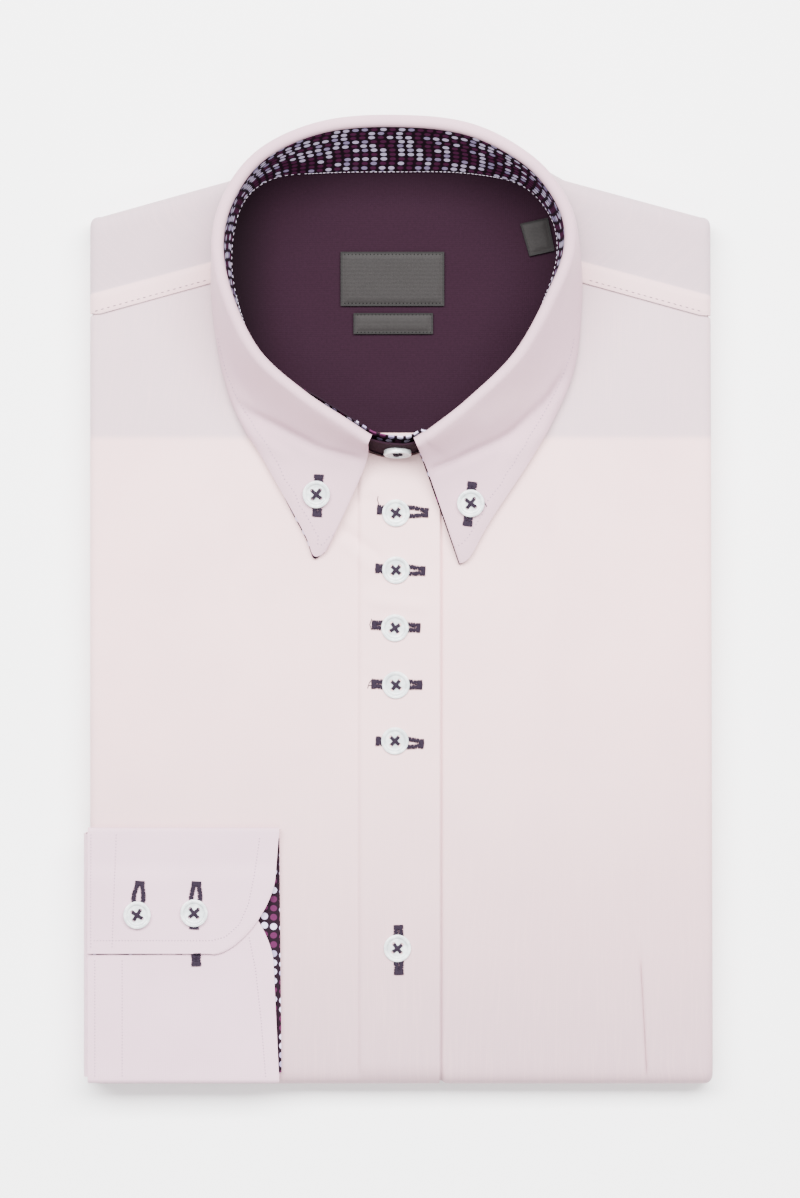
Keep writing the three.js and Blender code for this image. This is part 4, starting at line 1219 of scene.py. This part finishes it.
def modelButton():
    bpy.ops.object.select_all(action="DESELECT")
    thick = button["thick"]
    bpy.ops.mesh.primitive_cylinder_add(vertices=button["sides"], radius=button["radius"] * mm, depth=thick * mm,
                                        location=(0, 0, thick / 2 * mm))
    disc = bpy.context.active_object
    bpy.ops.object.mode_set(mode="EDIT")
    bpy.ops.mesh.select_mode(type="FACE")
    pickFaces(disc, lambda f: f.normal.z > 0.9)
    bpy.ops.mesh.inset(thickness=button["rim"] * mm)
    bpy.ops.mesh.inset(thickness=0.28 * mm, depth=-0.42 * mm)
    bpy.ops.mesh.inset(thickness=0.5 * mm, depth=-(button["well"] - 0.42) * mm)
    bpy.ops.mesh.inset(thickness=0.8 * mm, depth=0.06 * mm)
    pickFaces(disc, lambda f: f.normal.z < -0.9)
    bpy.ops.mesh.inset(thickness=0.9 * mm, depth=0.05 * mm)
    bpy.ops.object.mode_set(mode="OBJECT")
    bevel = disc.modifiers.new("edges", "BEVEL")
    bevel.width = button["edgeRound"] * mm
    bevel.segments = 3
    bevel.limit_method = "ANGLE"
    bevel.angle_limit = math.radians(40)
    applyAll(disc)
    for sideA, sideB in ((1, 1), (1, -1), (-1, 1), (-1, -1)):
        bpy.ops.object.select_all(action="DESELECT")
        spot = (sideA * button["holeSpread"] * mm, sideB * button["holeSpread"] * mm, thick / 2 * mm)
        bpy.ops.mesh.primitive_cylinder_add(vertices=14, radius=button["holeRadius"] * mm, depth=2 * thick * mm,
                                            location=spot)
        drill = bpy.context.active_object
        cut = disc.modifiers.new("hole", "BOOLEAN")
        cut.operation = "DIFFERENCE"
        cut.solver = "EXACT"
        cut.object = drill
        applyAll(disc)
        bpy.data.objects.remove(drill, do_unlink=True)
    disc.data.materials.clear()
    disc.data.materials.append(finishes["pearl"])
    strandPieces = []
    reach, top = button["holeSpread"], thick - button["well"] + 0.06
    for diagonal in (1, -1):
        for strand in range(button["strands"]):
            aside = (strand - (button["strands"] - 1) / 2) * 0.3
            curve = bpy.data.curves.new("strand", "CURVE")
            curve.dimensions = "3D"
            curve.bevel_depth = button["threadRadius"] * mm
            curve.bevel_resolution = 2
            line = curve.splines.new("POLY")
            lift = 0.28 + 0.26 * (diagonal > 0) + 0.05 * (strand % 2)
            marks = [(-1.0, -1.6), (-0.97, -0.2), (-0.86, lift * 0.8), (-0.5, lift + 0.05), (0, lift + 0.12),
                     (0.5, lift + 0.05), (0.86, lift * 0.8), (0.97, -0.2), (1.0, -1.6)]
            line.points.add(len(marks) - 1)
            for point, (share, high) in zip(line.points, marks):
                x = share * reach + aside * 0.7
                y = share * reach * diagonal - aside * 0.7 * diagonal
                point.co = (x * mm, y * mm, (top + high) * mm, 1)
            strandPiece = placed("strand", curve)
            selectOnly(strandPiece)
            bpy.ops.object.convert(target="MESH")
            strandPiece = bpy.context.active_object
            strandPiece.data.materials.clear()
            strandPiece.data.materials.append(finishes["plumThread"])
            strandPieces.append(strandPiece)
    selectOnly(disc)
    for strandPiece in strandPieces:
        strandPiece.select_set(True)
    bpy.context.view_layer.objects.active = disc
    bpy.ops.object.join()
    smoothShade(disc, 35)
    return disc


def leafAxis(x, y):
    normals = normalsOf(leaf)
    best = min(((p - Vector((x, y, p.z))).length, r, c) for r, row in enumerate(leaf)
               for c, p in enumerate(row) if p.z < 30)
    axis = normals[best[1]][best[2]]
    return axis if axis.z > 0 else -axis


def makeButtons():
    model = modelButton()
    axes = {}
    for name in ("collar_button_left", "collar_button_right"):
        low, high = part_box(name)
        axes[name] = leafAxis((low[0] + high[0]) / 2 / mm, (low[1] + high[1]) / 2 / mm)
    front = ring[-ringSteps * 2]
    foot, top = front["foot"], front["top"]
    rise = front["crest"] - foldRadius - 0.8 - package["innerYokeTop"] - package["gap"]
    axes["stand_button"] = Vector((0, -rise, top.y - foot.y)).normalized()
    names = [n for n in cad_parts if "button" in n]
    for number, name in enumerate(sorted(names)):
        low, high = (Vector(corner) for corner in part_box(name))
        axis = axes.get(name, Vector((0, 0, 1)))
        centre = (low + high) / 2
        base = centre - axis * button["thick"] / 2 * mm
        turn = axis.to_track_quat("Z", "Y").to_matrix().to_4x4()
        spin = (-8, 5, 12, -4, 9, 2, -11, 6, 3, -6, 8)[number % 11] + (45 if "collar" in name else 0)
        spin = Matrix.Rotation(math.radians(spin), 4, "Z")
        mesh = model.data.copy()
        mesh.transform(Matrix.Translation(base) @ turn @ spin)
        piece = placed(name.title().replace("_", "") + "Pearl", mesh)
        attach(piece, "root")
        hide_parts(name)
    bpy.data.objects.remove(model, do_unlink=True)


# stitches and buttonholes
def modelStitch(length, width, height):
    bpy.ops.object.select_all(action="DESELECT")
    bpy.ops.mesh.primitive_uv_sphere_add(segments=8, ring_count=5, radius=0.5)
    stitch = bpy.context.active_object
    stitch.scale = (length * mm, width * mm, height * mm)
    bpy.ops.object.transform_apply(location=False, rotation=False, scale=True)
    smoothShade(stitch, 80)
    return stitch


def stitched(name, model, places, finish):
    shape = bmesh.new()
    for place in places:
        copy = model.data.copy()
        copy.transform(place)
        shape.from_mesh(copy)
        bpy.data.meshes.remove(copy)
    mesh = bpy.data.meshes.new(name)
    shape.to_mesh(mesh)
    shape.free()
    mesh.materials.append(finishes[finish])
    for polygon in mesh.polygons:
        polygon.use_smooth = True
    piece = placed(name, mesh)
    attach(piece, "root")
    return piece


def frameAt(spot, normal, along):
    along = (along - normal * along.dot(normal)).normalized()
    side = normal.cross(along)
    turn = Matrix((along, side, normal)).transposed().to_4x4()
    return Matrix.Translation(spot) @ turn


def lineStitches(top, points, pitch, sink=-0.12):
    places = []
    left = pitch / 2
    for (ax, ay), (bx, by) in zip(points, points[1:]):
        length = math.hypot(bx - ax, by - ay)
        while left < length:
            t = left / length
            x, y = mix(ax, bx, t), mix(ay, by, t)
            found = top.at(x, y)
            if found:
                spot, normal = found
                way = Vector((bx - ax, by - ay, 0)).normalized()
                way.rotate(Matrix.Rotation(random.uniform(-0.07, 0.07), 3, "Z"))
                places.append(frameAt(spot - normal * sink * mm, normal, way))
            left += pitch
        left -= length
    return places


buttonPlaces = []
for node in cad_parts:
    if "button" in node:
        low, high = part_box(node)
        buttonPlaces.append(((low[0] + high[0]) / 2 / mm, (low[1] + high[1]) / 2 / mm))

buttonholes = [
    # name, ax, ay, bx, by: the two ends; slit beside the button on the side of a and of b
    ("placket1", -8.3, 38.2, 12.4, 36.9, 0.5, 1.7),
    ("placket2", -9.0, 14.2, 11.2, 13.0, 0.4, 1.2),
    ("placket3", -10.4, -9.0, 9.2, -10.3, 0.7, 0.9),
    ("placket4", -10.6, -33.3, 9.9, -33.6, 0.7, 0.8),
    ("placket5", -8.8, -56.6, 10.6, -57.8, 0.4, 1.6),
    ("placket6", 0.3, -132.2, 0.5, -152.3, 0.9, 0.6),
    ("collarLeft", -32.2, 52.4, -33.0, 35.4, 0.4, 0.9),
    ("collarRight", 30.6, 49.4, 28.5, 31.6, 0.7, 0.4),
    ("cuffLeft", -105.4, -114.0, -107.0, -131.5, 2.3, 0.6),
    ("cuffRight", -82.3, -114.2, -83.3, -133.4, 2.0, 0.6),
    ("cuffLower", -82.6, -143.6, -82.4, -148.6, 0.4, 0.4),
]
bar = {
    "width": 1.6, "pitch": 0.36, "slit": 0.15, "splay": 6.5, "rowLift": 0.4,
    "endRows": 5, "endPitch": 0.34, "endOut": 1.0, "endLift": 0.42,
}
looseThreads = [
    # short ends of plum thread: points in millimetres
    [(33.6, 43.0), (35.0, 41.8), (36.4, 39.6)],
    [(-7.6, 40.0), (-8.2, 42.2), (-8.0, 43.6)],
    [(-10.6, -6.6), (-11.4, -8.8), (-10.8, -11.2)],
    [(-10.2, -31.0), (-11.6, -32.8), (-12.4, -35.2)],
    [(-10.0, -33.6), (-11.8, -34.0)],
]


def buttonholePlaces(top, row):
    _, ax, ay, bx, by, slitA, slitB = row
    length = math.hypot(bx - ax, by - ay)
    way = Vector((bx - ax, by - ay, 0)) / length
    across = Vector((-way.y, way.x, 0))
    places = []

    def put(along, out, lift, turn):
        x, y = ax + way.x * along + across.x * out, ay + way.y * along + across.y * out
        found = top.at(x, y)
        covered = any(math.hypot(x - bx, y - by) < button["radius"] - 1.2 for bx, by in buttonPlaces)
        if found and not covered:
            spot, normal = found
            lean = across.copy()
            lean.rotate(Matrix.Rotation(turn, 3, "Z"))
            places.append(frameAt(spot + normal * lift * mm, normal, lean))

    count = max(3, int(length / bar["pitch"]))
    for k in range(count + 1):
        t = k / count
        slit = mix(slitA, slitB, smooth((t - 0.4) / 0.2))
        gap = mix(bar["slit"], slit, smooth(min(t, 1 - t) * length / bar["splay"]))
        for side in (-1, 1):
            out = side * (gap / 2 + bar["width"] / 2) + random.uniform(-0.09, 0.09)
            put(t * length + random.uniform(-0.07, 0.07), out, bar["rowLift"], random.uniform(-0.24, 0.24))
    for start, sign in ((0.0, 1), (length, -1)):       # the close rows across each end
        for k in range(bar["endRows"]):
            for side in (-1, 0, 1):
                out = side * bar["endOut"] + random.uniform(-0.1, 0.1)
                put(start + sign * k * bar["endPitch"], out, bar["endLift"], random.uniform(-0.12, 0.12))
    return places


cuffSeams = [
    # points in millimetres
    [(-125.6, -94.4), (-125.6, -141.6)],
    [(-115.2, -94.4), (-116.9, -141.6)],
    [(-124.8, -138.2), (-76.0, -138.2), (-70.4, -136.6), (-64.8, -131.6), (-61.0, -123.0), (-58.6, -111.0),
     (-56.4, -95.4)],
    [(-124.0, -146.0), (-124.0, -194.6)],
    [(-112.8, -146.0), (-112.8, -194.6)],
    [(-60.9, -136.5), (-58.2, -150.0), (-56.0, -170.0), (-54.0, -194.4)],
]


def seamAlongLeaf(inset):
    line = []
    for row in leaf:
        total = 0.0
        c = len(row) - 1
        while c > leafCrest + 4 and total < inset:
            total += (row[c] - row[c - 1]).length
            c -= 1
        line.append(row[c])
    return line


labelSeams = [(-22.4, 18.1, (122.9, 142.9)), (-17.2, 13.6, (111.0, 118.2))]


def makeStitching(pieces, labelPieces):
    top = Top(*pieces)
    seam = modelStitch(1.35, 0.34, 0.26)
    fine = modelStitch(0.5, 0.5, 0.4)
    row = modelStitch(2.4, 0.52, 0.56)
    strand = modelStitch(0.7, 0.34, 0.34)
    body = []
    for side in (-1, 1):
        points = [(side * x, seamY(side * x) + 1.5) for x in spread(78, 124.5, 4)]
        body += lineStitches(top, points, 2.55)
    stitched("yokeSeamStitches", seam, body, "greyThread")
    cuffPlaces = []
    for points in cuffSeams:
        cuffPlaces += lineStitches(top, points, 1.27)
    stitched("cuffSeamStitches", fine, cuffPlaces, "paleThread")
    collarPlaces = []
    points = [(p.x, p.y) for p in seamAlongLeaf(5.2) if p.y < 110]
    for side in (-1, 1):
        collarPlaces += lineStitches(top, [p for p in points if p[0] * side > 0], 1.6)
    stitched("collarEdgeStitches", fine, collarPlaces, "paleThread")
    holes = []
    for hole in buttonholes:
        holes += buttonholePlaces(top, hole)
    stitched("buttonholeThreads", row, holes, "plumThread")
    ends = []
    for points in looseThreads:
        ends += lineStitches(top, points, 0.42, -0.25)
    stitched("looseThreadEnds", strand, ends, "plumThread")
    labelTop = Top(*labelPieces)
    labelPlaces = []
    for low, high, rims in labelSeams:
        for y in rims:
            labelPlaces += lineStitches(labelTop, [(low, y), (high, y)], 1.5, -0.05)
    stitched("labelStitches", fine, labelPlaces, "blackThread")
    neckTop = []
    for k in range(0, len(ring)):
        section, following = ring[k], ring[(k + 1) % len(ring)]
        a = section["foot"] + section["footOut"] * -0.15
        b = following["foot"] + following["footOut"] * -0.15
        steps = max(1, round((b - a).length / 1.9))
        for s in range(steps):
            spot = a.lerp(b, s / steps) + Vector((0, 0, package["innerYokeTop"] + 1.3))
            neckTop.append(frameAt(spot * mm, -section["footOut"], (b - a).normalized()))
    stitched("neckSeamStitches", seam, neckTop, "whiteThread")
    for model in (seam, fine, row, strand):
        bpy.data.objects.remove(model, do_unlink=True)


# the whole shirt
def makeFloor():
    bpy.ops.object.select_all(action="DESELECT")
    bpy.ops.mesh.primitive_plane_add(size=stage["floorSize"], location=(0, 0, -0.00002))
    floor = bpy.context.active_object
    floor.name = "floor"
    bpy.ops.object.transform_apply(location=True, rotation=False, scale=False)
    floor.data.materials.append(finishes["floor"])


makeFloor()
frontLeft, frontRight = makeFronts()
print("fronts made")
yoke = makeYoke()
makeInnerYoke()
makeStack()
print("yokes and stack made")
leafPiece = makeCollar()
makeStand()
print("collar made")
cuffMade = makeCuff()
makeSleeve()
labels = makeLabels()
print("cuff, sleeve and labels made")
makeButtons()
makeStitching([frontLeft, frontRight, yoke, leafPiece, cuffMade], labels)
print("buttons and stitches made")
